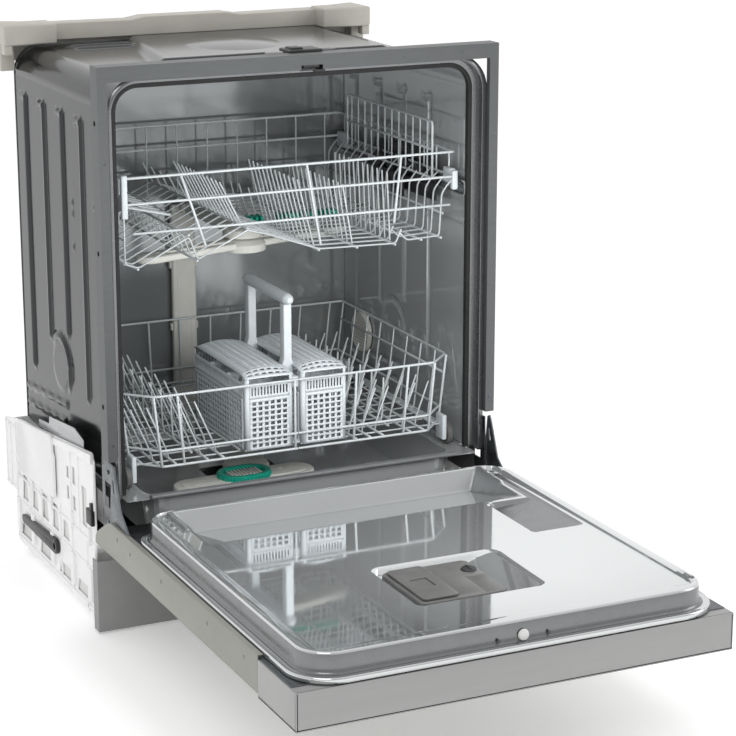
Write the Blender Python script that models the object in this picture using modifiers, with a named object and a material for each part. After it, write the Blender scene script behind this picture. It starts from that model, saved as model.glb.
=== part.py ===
"""Built-in dishwasher, 60 cm wide, standing open: tub, door, racks, spray arms, base and pumps.

Metres, +Z up, floor at Z = 0. X runs left to right, Y from the open door (front) to the rear.
Every length in Y below is measured from the front plane of the tub's front frame; the empty
frame_origin moves the whole object so that its bounding box is centred on the world origin.
"""

import math

import bmesh
import bpy
from mathutils import Matrix, Vector

# ------------------------------------------------------------------ driving dimensions
CASE_HALF = 0.299  # half the width of the front frame
CASE_TOP = 0.818  # top edge of the front frame
DOOR_REACH = 0.636  # how far the open door stands out in front of the frame
REAR_REACH = 0.520  # the base's rearmost point behind the frame
FRAME_Y = (DOOR_REACH - REAR_REACH) / 2  # places the box's centre at Y = 0

GAP = 0.0003  # between pieces that touch
SHEET = 0.0012  # stainless sheet of the tub
WALL = 0.003  # moulded plastic walls

TUB_HALF = 0.271  # inside half width of the tub
TUB_TOP = 0.790  # inside top of the tub
TUB_FRONT = 0.028  # where the tub steps out to its front collar
TUB_REAR = 0.462
TUB_CORNER = 0.038
COLLAR_GROWTH = 0.008  # the front collar is this much wider than the tub all round
COLLAR_FRONT = 0.010
FLANGE_WIDTH = 0.0065
SILL_Z = 0.215  # the ledge that the lower rack's wheels run on
BASIN_Z = 0.151  # the tub's floor round the sump
BASIN_HALF = 0.237
BASIN_FRONT = 0.011
BASIN_REAR = 0.461

FRAME_OPENING_HALF = 0.285
FRAME_OPENING_TOP = 0.797
FRAME_POST_FOOT = 0.276  # the posts end here, above the hinges
FRAME_RETURN = 0.027

HINGE = Vector((0.0, -0.012, 0.180))  # the door's hinge axis, along X
PANEL_LOW, PANEL_HIGH = 0.1335, 0.1825  # control panel, door open
PANEL_REAR = -0.523
SKIN_LOW = 0.139  # outer door skin, underside
DOOR_TAIL = 0.070  # the skin's end behind the hinge
LINER_TOP = 0.2178
LINER_FOOT = 0.1885
LINER_HALF = 0.274
LINER_FRONT = -0.621
LINER_REAR = -0.062
FIELD_Z = 0.2138  # the liner's sunken field

HUB = Vector((0.0, 0.236, 0.0))  # vertical axis of sump and spray arms
LOWER_ARM_Z = 0.168
ARM_REACH = 0.215  # the satellite arm's tips, from the hub
SATELLITE = Vector((-0.042, 0.140, 0.0))
UPPER_ARM_Z = 0.505
DUCT_FRONT, DUCT_REAR = 0.4450, 0.4565

UPPER_HALF, UPPER_FRONT, UPPER_REAR = 0.254, 0.041, 0.440
UPPER_FLOOR, UPPER_RIM = 0.540, 0.659
LOWER_HALF, LOWER_FRONT, LOWER_REAR = 0.257, 0.033, 0.4415
LOWER_FLOOR, LOWER_RIM = 0.246, 0.351
LOWER_TAPER = 0.013
WIRE = 0.0042
WHEEL_R = 0.0165
WHEEL_Z = SILL_Z + GAP + WHEEL_R
WHEEL_X = 0.2525
WHEEL_Y = (0.062, 0.405)

BASE_HALF = 0.292
BASE_FRONT = 0.088
BASE_REAR = 0.471
BASE_FLOOR = 0.014
KICK_Y, KICK_TOP = 0.066, 0.110

# ------------------------------------------------------------------ scene, materials, helpers
for old in list(bpy.data.objects):
    bpy.data.objects.remove(old, do_unlink=True)

parts = bpy.data.collections.new("dishwasher")
cutters = bpy.data.collections.new("cutters")
for collection in (parts, cutters):
    bpy.context.scene.collection.children.link(collection)

origin = bpy.data.objects.new("frame_origin", None)
origin.location = (0, FRAME_Y, 0)
parts.objects.link(origin)

AXES = {
    "X": Matrix(((0, 0, 1), (1, 0, 0), (0, 1, 0))).to_4x4(),
    "Y": Matrix(((1, 0, 0), (0, 0, -1), (0, 1, 0))).to_4x4(),
    "Z": Matrix.Identity(4),
}

FINISHES = {  # colour, metallic, roughness
    "stainless": ((0.46, 0.47, 0.48), 1.0, 0.22),
    "polished": ((0.62, 0.64, 0.65), 1.0, 0.08),
    "frame_steel": ((0.40, 0.41, 0.42), 0.8, 0.40),
    "door_paint": ((0.33, 0.33, 0.30), 0.3, 0.45),
    "panel_grey": ((0.34, 0.34, 0.34), 0.5, 0.42),
    "cover_beige": ((0.45, 0.43, 0.38), 0.0, 0.55),
    "white_plastic": ((0.85, 0.86, 0.86), 0.0, 0.40),
    "tank_white": ((0.90, 0.90, 0.90), 0.0, 0.18),
    "black_plastic": ((0.02, 0.02, 0.02), 0.0, 0.45),
    "dark_grey_plastic": ((0.13, 0.13, 0.13), 0.0, 0.40),
    "rubber": ((0.015, 0.015, 0.015), 0.0, 0.75),
    "wire_grey": ((0.60, 0.62, 0.63), 0.3, 0.30),
    "basket_grey": ((0.50, 0.53, 0.55), 0.0, 0.45),
    "arm_grey": ((0.55, 0.55, 0.52), 0.0, 0.50),
    "cast_iron": ((0.10, 0.10, 0.10), 0.8, 0.70),
    "hinge_steel": ((0.20, 0.21, 0.22), 0.9, 0.40),
    "spring_steel": ((0.35, 0.36, 0.38), 1.0, 0.35),
    "clear_plastic": ((0.80, 0.80, 0.78), 0.0, 0.20),
}


def make_material(finish):
    colour, metallic, roughness = FINISHES[finish]
    material = bpy.data.materials.new(finish)
    material.use_nodes = True
    shader = material.node_tree.nodes["Principled BSDF"]
    shader.inputs["Base Color"].default_value = (*colour, 1)
    shader.inputs["Metallic"].default_value = metallic
    shader.inputs["Roughness"].default_value = roughness
    return material


materials = {finish: make_material(finish) for finish in FINISHES}


def place(name, mesh, finish, pivot=(0, 0, 0)):
    """An object for a mesh in frame coordinates, with its origin on the pivot; no finish makes a cutter."""
    pivot = Vector(pivot)
    mesh.transform(Matrix.Translation(-pivot))
    obj = bpy.data.objects.new(name, mesh)
    obj.location = pivot
    obj.parent = origin
    if finish:
        mesh.materials.clear()
        mesh.materials.append(materials[finish])
        parts.objects.link(obj)
    else:
        cutters.objects.link(obj)
        obj.hide_render = True
        obj.display_type = "WIRE"
    return obj


def mesh_of(bm):
    mesh = bpy.data.meshes.new("shape")
    bm.to_mesh(mesh)
    bm.free()
    return mesh


def block(name, low, high, finish=None, pivot=(0, 0, 0)):
    bm = bmesh.new()
    low, high = Vector(low), Vector(high)
    bmesh.ops.create_cube(bm, size=1)
    size = Matrix.Diagonal((high - low).to_4d())
    size[3][3] = 1
    bmesh.ops.transform(bm, matrix=Matrix.Translation((low + high) / 2) @ size, verts=bm.verts)
    return place(name, mesh_of(bm), finish, pivot)


def rod(name, centre, radius, length, across, finish=None, pivot=(0, 0, 0), segments=24, tip_radius=None):
    """A cylinder or cone, centred on a point, its length along an axis."""
    bm = bmesh.new()
    bmesh.ops.create_cone(
        bm,
        cap_ends=True,
        segments=segments,
        radius1=radius,
        radius2=radius if tip_radius is None else tip_radius,
        depth=length,
    )
    bmesh.ops.transform(bm, matrix=Matrix.Translation(centre) @ AXES[across], verts=bm.verts)
    return place(name, mesh_of(bm), finish, pivot)


def slab(name, outlines, low, high, across, finish=None, pivot=(0, 0, 0)):
    """A flat outline, with any holes after it, extruded between two planes across an axis.

    Its points are (Y, Z) across X, (X, Z) across Y and (X, Y) across Z.
    """
    curve = bpy.data.curves.new(name, "CURVE")
    curve.dimensions = "2D"
    curve.fill_mode = "BOTH"
    curve.extrude = (high - low) / 2
    for outline in outlines:
        spline = curve.splines.new("POLY")
        spline.points.add(len(outline) - 1)
        for point, (u, v) in zip(spline.points, outline):
            point.co = (u, v, 0, 1)
        spline.use_cyclic_u = True
    flat = bpy.data.objects.new(name, curve)
    cutters.objects.link(flat)
    shape = bpy.data.meshes.new_from_object(flat.evaluated_get(bpy.context.evaluated_depsgraph_get()))
    bpy.data.objects.remove(flat)
    bm = bmesh.new()
    bm.from_mesh(shape)
    bmesh.ops.remove_doubles(bm, verts=bm.verts, dist=1e-6)
    middle = {"X": (1, 0, 0), "Y": (0, 1, 0), "Z": (0, 0, 1)}[across]
    move = Matrix.Translation(Vector(middle) * (low + high) / 2)
    bmesh.ops.transform(bm, matrix=move @ AXES[across], verts=bm.verts)
    bmesh.ops.recalc_face_normals(bm, faces=bm.faces)
    return place(name, mesh_of(bm), finish, pivot)


def turned(name, profile, centre, finish=None, pivot=None, steps=32):
    """A profile of (radius, height) from the top of the axis round to its foot, turned about Z."""
    bm = bmesh.new()
    corners = [bm.verts.new((radius, 0, height)) for radius, height in profile]
    for start, end in zip(corners, corners[1:]):
        bm.edges.new((start, end))
    obj = place(name, mesh_of(bm), finish)
    obj.location = centre
    screw = obj.modifiers.new("Screw", "SCREW")
    screw.steps = screw.render_steps = steps
    screw.use_merge_vertices = True
    screw.merge_threshold = 0.00001
    screw.use_smooth_shade = True
    return obj


def loft(name, rings, finish, thickness, pivot=(0, 0, 0), fill_last=False, closed=True):
    """A sheet through rows of equally many points, its last one filled if asked, thickened below itself."""
    bm = bmesh.new()
    rows = [[bm.verts.new(point) for point in ring] for ring in rings]
    for outer, inner in zip(rows, rows[1:]):
        for i in range(len(outer) if closed else len(outer) - 1):
            j = (i + 1) % len(outer)
            bm.faces.new((outer[i], outer[j], inner[j], inner[i]))
    if fill_last:
        bm.faces.new(rows[-1])
    obj = place(name, mesh_of(bm), finish, pivot)
    solid = obj.modifiers.new("Solidify", "SOLIDIFY")
    solid.thickness = thickness
    solid.offset = -1
    solid.use_even_offset = True
    return obj


def round_rectangle(x0, x1, y0, y1, radius, steps=6):
    """Counter-clockwise points, starting at the high-X, low-Y corner's arc."""
    points = []
    corners = ((x1, y0, -90), (x1, y1, 0), (x0, y1, 90), (x0, y0, 180))
    for x, y, start in corners:
        cx = x - math.copysign(radius, x - (x0 + x1) / 2)
        cy = y - math.copysign(radius, y - (y0 + y1) / 2)
        for step in range(steps + 1):
            angle = math.radians(start + 90 * step / steps)
            points.append((cx + radius * math.cos(angle), cy + radius * math.sin(angle)))
    return points


def ring_at(z, *rectangle):
    return [Vector((x, y, z)) for x, y in round_rectangle(*rectangle)]


def arch(half, top, radius, foot, steps=8):
    """An upside-down U of (X, Z) points from the right foot over the top to the left foot."""
    points = [(half, foot)]
    for centre, start in ((half - radius, 0), (radius - half, 90)):
        for step in range(steps + 1):
            angle = math.radians(start + 90 * step / steps)
            points.append((centre + radius * math.cos(angle), top - radius + radius * math.sin(angle)))
    points.append((-half, foot))
    return points


def arch_band(half, top, radius, foot, width):
    """The closed outline of a U-shaped band that grows outwards from an arch by its width."""
    inner = arch(half, top, radius, foot)
    outer = arch(half + width, top + width, radius + width, foot)
    return outer + inner[::-1]


def link_outline(start, start_radius, end, end_radius, steps=10):
    """The outline of two discs joined by straight sides, as (u, v) points."""
    start, end = Vector(start), Vector(end)
    heading = math.atan2(end.y - start.y, end.x - start.x)
    lean = math.asin((start_radius - end_radius) / (end - start).length)
    points = []
    for centre, radius, first, sweep in (
        (end, end_radius, heading - math.pi / 2 + lean, math.pi - 2 * lean),
        (start, start_radius, heading + math.pi / 2 - lean, math.pi + 2 * lean),
    ):
        for step in range(steps + 1):
            angle = first + sweep * step / steps
            points.append((centre.x + radius * math.cos(angle), centre.y + radius * math.sin(angle)))
    return points


def disc_outline(centre, radius, steps=24):
    return [
        (
            centre[0] + radius * math.cos(math.tau * i / steps),
            centre[1] + radius * math.sin(math.tau * i / steps),
        )
        for i in range(steps)
    ]


def boolean(obj, others, operation):
    for other in others:
        modifier = obj.modifiers.new(operation.title(), "BOOLEAN")
        modifier.operation = operation
        modifier.solver = "EXACT"
        modifier.object = other
    return obj


def join(obj, *others):
    return boolean(obj, others, "UNION")


def cut(obj, *others):
    return boolean(obj, others, "DIFFERENCE")


def soften(obj, width, segments=2):
    bevel = obj.modifiers.new("Bevel", "BEVEL")
    bevel.width = width
    bevel.segments = segments
    bevel.limit_method = "ANGLE"
    bevel.angle_limit = math.radians(40)
    return obj


def grid_wires(name, bm, finish, pivot):
    """The edges of a mesh as wires joined where they cross."""
    obj = place(name, mesh_of(bm), finish, pivot)
    wires = obj.modifiers.new("Wireframe", "WIREFRAME")
    wires.thickness = WIRE
    wires.use_even_offset = False
    wires.use_boundary = True
    wires.use_replace = True
    return obj


def divided_box(low, high, cuts, drop_top):
    """A box's surface cut into cells along X, Y and Z, with its lid left off if asked."""
    bm = bmesh.new()
    low, high = Vector(low), Vector(high)
    bmesh.ops.create_cube(bm, size=1)
    if drop_top:
        lid = [face for face in bm.faces if face.normal.z > 0.5]
        bmesh.ops.delete(bm, geom=lid, context="FACES_ONLY")
    for axis, count in enumerate(cuts):
        along = [e for e in bm.edges if abs(e.verts[0].co[axis] - e.verts[1].co[axis]) > 1e-6]
        if count:
            bmesh.ops.subdivide_edges(bm, edges=along, cuts=count, use_grid_fill=True)
    for vert in bm.verts:
        vert.co = [low[i] + (vert.co[i] + 0.5) * (high[i] - low[i]) for i in range(3)]
    return bm


SIDES = (("left", -1), ("right", 1))


def sides(build):
    """Calls a builder for the left side and the right side."""
    for word, sign in SIDES:
        build(word, sign)


def span(sign, inner, outer):
    """The low and high X of a piece between two distances from the middle, on one side."""
    return (inner, outer) if sign > 0 else (-outer, -inner)


# ------------------------------------------------------------------ tub
def build_tub_wrap():
    """The tub's sides and top in one bent sheet, stepped out to a front collar with a flange."""
    foot = SILL_Z + 0.001
    rows = []
    for growth, y in (
        (0, TUB_REAR),
        (0, TUB_FRONT),
        (COLLAR_GROWTH, TUB_FRONT),
        (COLLAR_GROWTH, COLLAR_FRONT),
        (COLLAR_GROWTH + FLANGE_WIDTH, COLLAR_FRONT),
    ):
        points = arch(TUB_HALF + growth, TUB_TOP + growth, TUB_CORNER + growth, foot)
        rows.append([(x, y, z) for x, z in points])
    loft("tub_wrap", rows[::-1], "stainless", SHEET, closed=False)


def build_tub_back():
    outline = arch(TUB_HALF + SHEET, TUB_TOP + SHEET, TUB_CORNER + SHEET, SILL_Z + 0.001)
    slab("tub_back_panel", [outline], TUB_REAR + GAP, TUB_REAR + GAP + SHEET, "Y", "stainless")


def build_tub_floor():
    top = ring_at(SILL_Z, -BASIN_HALF, BASIN_HALF, BASIN_FRONT, BASIN_REAR, 0.030)
    low = ring_at(
        BASIN_Z, -BASIN_HALF + 0.006, BASIN_HALF - 0.006, BASIN_FRONT + 0.004, BASIN_REAR - 0.004, 0.026
    )
    hole = []
    for point in low:
        out = Vector((point.x - HUB.x, point.y - HUB.y, 0)).normalized()
        hole.append(HUB + out * 0.076 + Vector((0, 0, BASIN_Z)))
    edge = ring_at(SILL_Z, -TUB_HALF - SHEET, TUB_HALF + SHEET, 0.003, TUB_REAR + SHEET, 0.004)
    loft("tub_floor", [edge, top, low, hole], "stainless", SHEET)


def build_front_frame():
    foot, top = FRAME_POST_FOOT, CASE_TOP
    half, inner, bar = CASE_HALF, FRAME_OPENING_HALF, FRAME_OPENING_TOP
    portal = [(half, foot), (half, top), (-half, top), (-half, foot)]
    portal += [(-inner, foot), (-inner, bar), (inner, bar), (inner, foot)]
    frame = slab("front_frame", [portal], 0, 0.0015, "Y", "frame_steel")
    shell = [(half, foot), (half, top), (-half, top), (-half, foot)]
    shell += [(0.0015 - half, foot), (0.0015 - half, top - 0.0015), (half - 0.0015, top - 0.0015)]
    shell += [(half - 0.0015, foot)]
    returns = slab("frame_return_shape", [shell], 0.0005, FRAME_RETURN, "Y")
    lip = [
        (inner + SHEET, foot), (inner + SHEET, bar + SHEET), (-inner - SHEET, bar + SHEET),
        (-inner - SHEET, foot),
    ]
    lip += [(-inner, foot), (-inner, bar), (inner, bar), (inner, foot)]
    inner_lip = slab("frame_lip_shape", [lip], 0.0005, COLLAR_FRONT - GAP, "Y")
    notch = block("latch_notch_cutter", (-0.006, -0.001, 0.790), (0.026, 0.012, 0.8035))
    cut(join(frame, returns, inner_lip), notch)


def build_seals():
    outline = arch_band(TUB_HALF - 0.0063, TUB_TOP - 0.0063, TUB_CORNER - 0.006, SILL_Z + 0.001, 0.006)
    slab("door_gasket", [outline], TUB_FRONT - 0.001, TUB_FRONT + 0.010, "Y", "rubber")
    sill = block("sill_seal", (-0.238, -0.002, SILL_Z + GAP), (0.238, 0.009, SILL_Z + 0.005), "rubber")
    soften(sill, 0.0015)


def build_feed_duct():
    duct = block("feed_duct", (-0.034, DUCT_FRONT, 0.194), (0.006, DUCT_REAR, 0.532), "arm_grey")
    foot = block("duct_foot_shape", (-0.030, DUCT_REAR - 0.0035, 0.163), (0.002, DUCT_REAR, 0.200))
    soften(join(duct, foot), 0.001, 1)


def build_vent_cap():
    profile = [(0, 0.0078), (0.026, 0.0078), (0.033, 0.004), (0.033, 0), (0, 0)]
    cap = turned("vent_cap", profile, (TUB_HALF - GAP, 0.392, 0.309), "arm_grey")
    cap.rotation_euler = (0, -math.pi / 2, 0)


def build_salt_cap():
    profile = [(0, 0.009), (0.012, 0.009), (0.030, 0.007), (0.034, 0.004), (0.034, 0), (0, 0)]
    turned("salt_cap", profile, (0.188, 0.158, BASIN_Z + GAP), "arm_grey")


# ------------------------------------------------------------------ base, pumps, feet
def build_base_tray():
    profile = [
        (BASE_FRONT, 0.030),
        (BASE_FRONT + 0.012, BASE_FLOOR),
        (BASE_REAR, BASE_FLOOR),
        (BASE_REAR, 0.095),
        (REAR_REACH, 0.095),
        (REAR_REACH, 0.204),
        (0.441, 0.219),
        (0.267, 0.240),
        (BASE_FRONT + 0.010, 0.262),
        (BASE_FRONT, 0.250),
    ]
    left = slab("base_tray", [profile], -BASE_HALF, -BASE_HALF + WALL, "X", "white_plastic")
    right = slab("base_right_shape", [profile], BASE_HALF - WALL, BASE_HALF, "X")
    inside = BASE_HALF - WALL / 2
    floor = block(
        "base_floor_shape", (-inside, BASE_FRONT + 0.013, BASE_FLOOR),
        (inside, BASE_REAR, BASE_FLOOR + WALL),
    )
    front = block(
        "base_front_shape", (-inside, BASE_FRONT + 0.012, BASE_FLOOR),
        (inside, BASE_FRONT + 0.012 + WALL, 0.132),
    )
    rear = block("base_rear_shape", (-inside, BASE_REAR - WALL, BASE_FLOOR), (inside, BASE_REAR, 0.112))
    hood = block("base_hood_shape", (-inside, BASE_REAR - WALL, 0.109), (inside, REAR_REACH, 0.112))
    back = block("base_back_shape", (-inside, REAR_REACH - WALL, 0.109), (inside, REAR_REACH, 0.200))
    inlet = rod("inlet_hole_cutter", (0.210, REAR_REACH, 0.160), 0.013, 0.05, "Y")
    outlet = rod("outlet_hole_cutter", (0.150, REAR_REACH, 0.150), 0.015, 0.05, "Y")
    cut(join(left, right, floor, front, rear, hood, back), inlet, outlet)


def build_water_tank():
    outline = [
        (0.262, 0.146), (0.440, 0.140), (0.441, 0.217), (0.268, 0.241), (0.268, 0.216), (0.262, 0.210)
    ]
    tank = slab("water_tank", [outline], -0.2978, -BASE_HALF - GAP, "X", "tank_white")
    soften(tank, 0.0012)


def build_kick_plate():
    plate = block("kick_plate", (-0.298, KICK_Y, 0.004), (0.298, KICK_Y + 0.002, KICK_TOP), "panel_grey")
    ends = [
        block(f"kick_end_{word}_shape", (x0, KICK_Y, 0.004), (x1, 0.086, KICK_TOP))
        for word, (x0, x1) in (("left", span(-1, 0.2965, 0.298)), ("right", span(1, 0.2965, 0.298)))
    ]
    join(plate, *ends)


def build_feet():
    profile = [
        (0, BASE_FLOOR - GAP), (0.008, BASE_FLOOR - GAP), (0.008, 0.007), (0.019, 0.005), (0.021, 0), (0, 0)
    ]
    for name, x, y in (
        ("foot_front_left", -0.255, 0.112),
        ("foot_front_right", 0.255, 0.112),
        ("foot_rear_left", -0.255, 0.440),
        ("foot_rear_right", 0.255, 0.440),
    ):
        turned(name, profile, (x, y, 0), "black_plastic", steps=20)


def build_sump():
    floor = BASIN_Z - SHEET - GAP
    profile = [(0.070, floor), (0.078, floor), (0.078, 0.140), (0.062, 0.090), (0.062, 0.066), (0, 0.066)]
    inner = [(0, 0.069), (0.059, 0.069), (0.059, 0.091), (0.070, 0.130)]
    turned("sump", profile + inner + [(0.070, floor)], HUB, "dark_grey_plastic")


def build_filter():
    profile = [(0, 0.155), (0.012, 0.155), (0.014, 0.1535), (0.044, 0.1535), (0.046, 0.150), (0.046, 0.146)]
    profile += [(0.036, 0.145), (0.034, 0.078), (0, 0.078)]
    turned("filter_cylinder", profile, HUB, "arm_grey")


def build_pumps():
    wash = rod("wash_pump", (-0.140, 0.236, 0.085), 0.046, 0.095, "X", "black_plastic")
    motor = rod("wash_motor_shape", (-0.215, 0.236, 0.085), 0.036, 0.070, "X")
    soften(join(wash, motor), 0.002)
    drain = rod("drain_pump", (0.118, 0.236, 0.072), 0.026, 0.070, "X", "dark_grey_plastic")
    coil = block("drain_coil_shape", (0.120, 0.222, 0.060), (0.175, 0.250, 0.118))
    join(drain, coil)


def build_counterweight():
    weight = block(
        "counterweight", (-0.200, 0.404, BASE_FLOOR + WALL + GAP), (0.200, 0.464, 0.082), "cast_iron"
    )
    soften(weight, 0.004)


def build_rear_cover():
    bar = block("rear_top_cover", (-0.262, 0.452, 0.7925), (0.262, 0.486, 0.812), "cover_beige")
    skirt = block("cover_skirt_shape", (-0.262, 0.466, 0.765), (0.262, 0.486, 0.800))
    hump = block("cover_hump_shape", (-0.070, 0.456, 0.805), (0.070, 0.486, 0.8175))
    pieces = [skirt, hump]
    for word, sign in (("left", -1), ("right", 1)):
        x0, x1 = span(sign, 0.215, 0.298)
        pieces.append(block(f"cover_head_{word}_shape", (x0, 0.420, 0.7925), (x1, 0.486, 0.826)))
        x0, x1 = span(sign, 0.2735, 0.298)
        pieces.append(block(f"cover_leg_{word}_shape", (x0, 0.444, 0.755), (x1, 0.484, 0.800)))
    soften(join(bar, *pieces), 0.0025)


def build_hinge_bracket(word, sign):
    outline = [
        (-0.020, 0.173), (-0.020, 0.186), (-0.012, 0.190), (0.003, 0.196), (0.006, 0.268), (0.060, 0.268)
    ]
    outline += [(0.060, 0.162), (0.010, 0.162), (-0.010, 0.170)]
    x0, x1 = span(sign, 0.2868, 0.2888)
    bracket = slab(f"hinge_bracket_{word}", [outline], x0, x1, "X", "hinge_steel")
    pin = rod(f"hinge_pin_{word}_shape", (sign * 0.2912, HINGE.y, HINGE.z), 0.004, 0.0072, "X")
    join(bracket, pin)


def build_spring(word, sign):
    turns, pitch, radius = 16, 0.010, 0.0068
    profile = [(0, turns * pitch)]
    for turn in range(turns, 0, -1):
        profile += [(radius, (turn - 0.25) * pitch), (radius * 0.72, (turn - 0.75) * pitch)]
    profile += [(0, 0)]
    spring = turned(f"door_spring_{word}", profile, (sign * 0.2805, 0.290, 0.196), "spring_steel", steps=10)
    spring.rotation_euler = (math.pi / 2, 0, 0)


LEVER_EYE = Vector((0, 0.268, 0.069))


def build_tension_lever(word, sign):
    outline = link_outline((LEVER_EYE.y, LEVER_EYE.z), 0.013, (0.425, 0.064), 0.007)
    x0, x1 = span(sign, BASE_HALF + GAP, 0.2975)
    pivot = (sign * 0.295, LEVER_EYE.y, LEVER_EYE.z)
    eye = disc_outline((LEVER_EYE.y, LEVER_EYE.z), 0.006, 16)
    slab(f"tension_lever_{word}", [outline, eye], x0, x1, "X", "black_plastic", pivot)


# ------------------------------------------------------------------ latch
LATCH_PIVOT = Vector((0.010, 0.023, 0.8068))


def build_latch():
    housing = block("latch_housing", (-0.028, 0.0260, 0.8010), (0.048, 0.066, 0.8145), "black_plastic")
    outline = [(0.0025, 0.7990), (0.0085, 0.7990), (0.0085, 0.8052), (0.0245, 0.8052), (0.0245, 0.8084)]
    outline += [(0.0025, 0.8084)]
    hook = slab("latch_hook", [outline], -0.002, 0.022, "X", "black_plastic", LATCH_PIVOT)
    soften(housing, 0.0015)
    soften(hook, 0.0006, 1)


# ------------------------------------------------------------------ door
def build_outer_door():
    skin = block(
        "outer_door_panel", (-0.298, PANEL_REAR + GAP, SKIN_LOW), (0.298, DOOR_TAIL, SKIN_LOW + 0.001),
        "door_paint",
    )
    outline = [
        (PANEL_REAR + GAP, SKIN_LOW), (DOOR_TAIL, SKIN_LOW), (DOOR_TAIL, 0.150), (0.020, 0.182),
        (0.004, 0.188),
    ]
    outline += [(PANEL_REAR + GAP, 0.188)]
    walls = [
        slab(f"door_side_{word}_shape", [outline], *span(sign, 0.2965, 0.298), "X") for word, sign in SIDES
    ]
    join(skin, *walls)


BUTTONS = {"power_button": -0.250, "start_button": 0.250}
BUTTON_Y, BUTTON_TRAVEL = -0.585, 0.0015


def build_control_panel():
    panel = block(
        "control_panel", (-0.298, -DOOR_REACH, PANEL_LOW), (0.298, PANEL_REAR, PANEL_HIGH), "panel_grey"
    )
    hollow = block(
        "panel_hollow_cutter", (-0.295, -DOOR_REACH + WALL, PANEL_LOW + WALL), (0.295, 0, PANEL_HIGH - WALL)
    )
    grip = block(
        "grip_pocket_cutter", (-0.110, -0.615, PANEL_LOW - 0.01), (0.110, -0.575, PANEL_LOW + 0.02)
    )
    holes = [
        rod(f"{name}_hole_cutter", (x, BUTTON_Y, PANEL_LOW), 0.0105, 0.02, "Z")
        for name, x in BUTTONS.items()
    ]
    cut(panel, hollow, grip, *holes)
    for name, x in BUTTONS.items():
        profile = [(0, 0.0075), (0.008, 0.0075), (0.008, 0.0055), (0.0125, 0.0055), (0.0125, 0.0034)]
        profile += [(0.010, 0.0034), (0.010, -0.0005), (0.0092, -0.0015), (0, -0.0015)]
        turned(name, profile, (x, BUTTON_Y, PANEL_LOW), "dark_grey_plastic", steps=24)


def build_liner():
    """The door's stainless inner pan: flange, wall, rim, a ramp at the hinge end and the sunken field."""
    flange = ring_at(LINER_FOOT, -0.289, 0.289, -0.629, -0.030, 0.020)
    foot = ring_at(LINER_FOOT, -0.276, 0.276, LINER_FRONT - 0.002, LINER_REAR + 0.002, 0.042)
    brow = ring_at(LINER_TOP, -LINER_HALF, LINER_HALF, LINER_FRONT, LINER_REAR, 0.040)
    rim = ring_at(LINER_TOP, -0.2615, 0.2615, -0.603, -0.068, 0.028)
    field = ring_at(FIELD_Z, -0.2585, 0.2585, -0.600, -0.140, 0.025)
    liner = loft("door_liner", [flange, foot, brow, rim, field], "polished", 0.001, fill_last=True)
    well = block("dispenser_well_cutter", (-0.0765, -0.5155, 0.19), (0.0455, -0.3945, 0.23))
    tracks = [
        block(f"wheel_track_{word}_cutter", (x0, -0.142, 0.2138), (x1, -0.050, 0.230))
        for word, (x0, x1) in ((word, span(sign, 0.2440, 0.2612)) for word, sign in SIDES)
    ]
    cut(liner, well, *tracks)


def build_dispenser():
    body = block(
        "detergent_dispenser", (-0.076, -0.515, 0.1875), (0.045, -0.395, 0.2130), "dark_grey_plastic"
    )
    cup = block("detergent_cup_cutter", (-0.066, -0.505, 0.1915), (-0.026, -0.405, 0.230))
    cut(body, cup)
    lid_low, lid_high = (-0.071, -0.510, 0.2133), (-0.021, -0.400, 0.2168)
    lid = block("detergent_lid", lid_low, lid_high, "dark_grey_plastic", (-0.046, -0.455, 0.2133))
    soften(lid, 0.0012)
    profile = [(0, 0.0034), (0.004, 0.0034), (0.0095, 0.0026), (0.0105, 0), (0, 0)]
    turned("rinse_aid_cap", profile, RINSE_CAP, "black_plastic", steps=20)


RINSE_CAP = Vector((0.0325, -0.430, 0.2133))


def build_striker():
    knob = rod(
        "door_striker", (0.005, LINER_FRONT - 0.0043, 0.199), 0.0075, 0.0036, "Y", "clear_plastic",
        segments=20,
    )
    soften(knob, 0.0008, 1)


def build_hinge_arm(word, sign):
    outline = [
        (-0.070, 0.150), (0.004, 0.150), (0.022, 0.170), (0.010, 0.240), (0.005, 0.270), (-0.001, 0.271)
    ]
    outline += [(-0.027, 0.212), (-0.070, 0.180)]
    bore = disc_outline((HINGE.y, HINGE.z), 0.0044, 24)
    slab(f"hinge_arm_{word}", [outline, bore], *span(sign, 0.2910, 0.2940), "X", "hinge_steel", HINGE)


# ------------------------------------------------------------------ upper rack
def build_upper_rack():
    bm = divided_box(
        (
            -UPPER_HALF, UPPER_FRONT, UPPER_FLOOR
        ), (UPPER_HALF, UPPER_REAR, UPPER_RIM), (7, 5, 2), drop_top=True
    )
    grid_wires("upper_rack", bm, "wire_grey", (0, UPPER_FRONT, UPPER_FLOOR))


SHELF_X, SHELF_Z, SHELF_REACH = 0.244, 0.612, 0.085


SHELF_ANGLE = {"left": -14, "right": 90}  # degrees above level: the left shelf is down, the right one is up


def build_cup_shelf(word, sign):
    bm = bmesh.new()
    bmesh.ops.create_grid(bm, x_segments=2, y_segments=6, size=0.5)
    middle = Vector((sign * (SHELF_X - SHELF_REACH / 2), 0.245, SHELF_Z))
    size = Matrix.Diagonal((SHELF_REACH, 0.300, 1, 1))
    tilt = Matrix.Rotation(sign * math.radians(SHELF_ANGLE[word]), 4, "Y")
    hinge = Matrix.Translation((sign * SHELF_X, 0, SHELF_Z))
    bmesh.ops.transform(
        bm, matrix=hinge @ tilt @ hinge.inverted() @ Matrix.Translation(middle) @ size, verts=bm.verts
    )
    grid_wires(f"cup_shelf_{word}", bm, "wire_grey", (sign * SHELF_X, 0.245, SHELF_Z))


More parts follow.
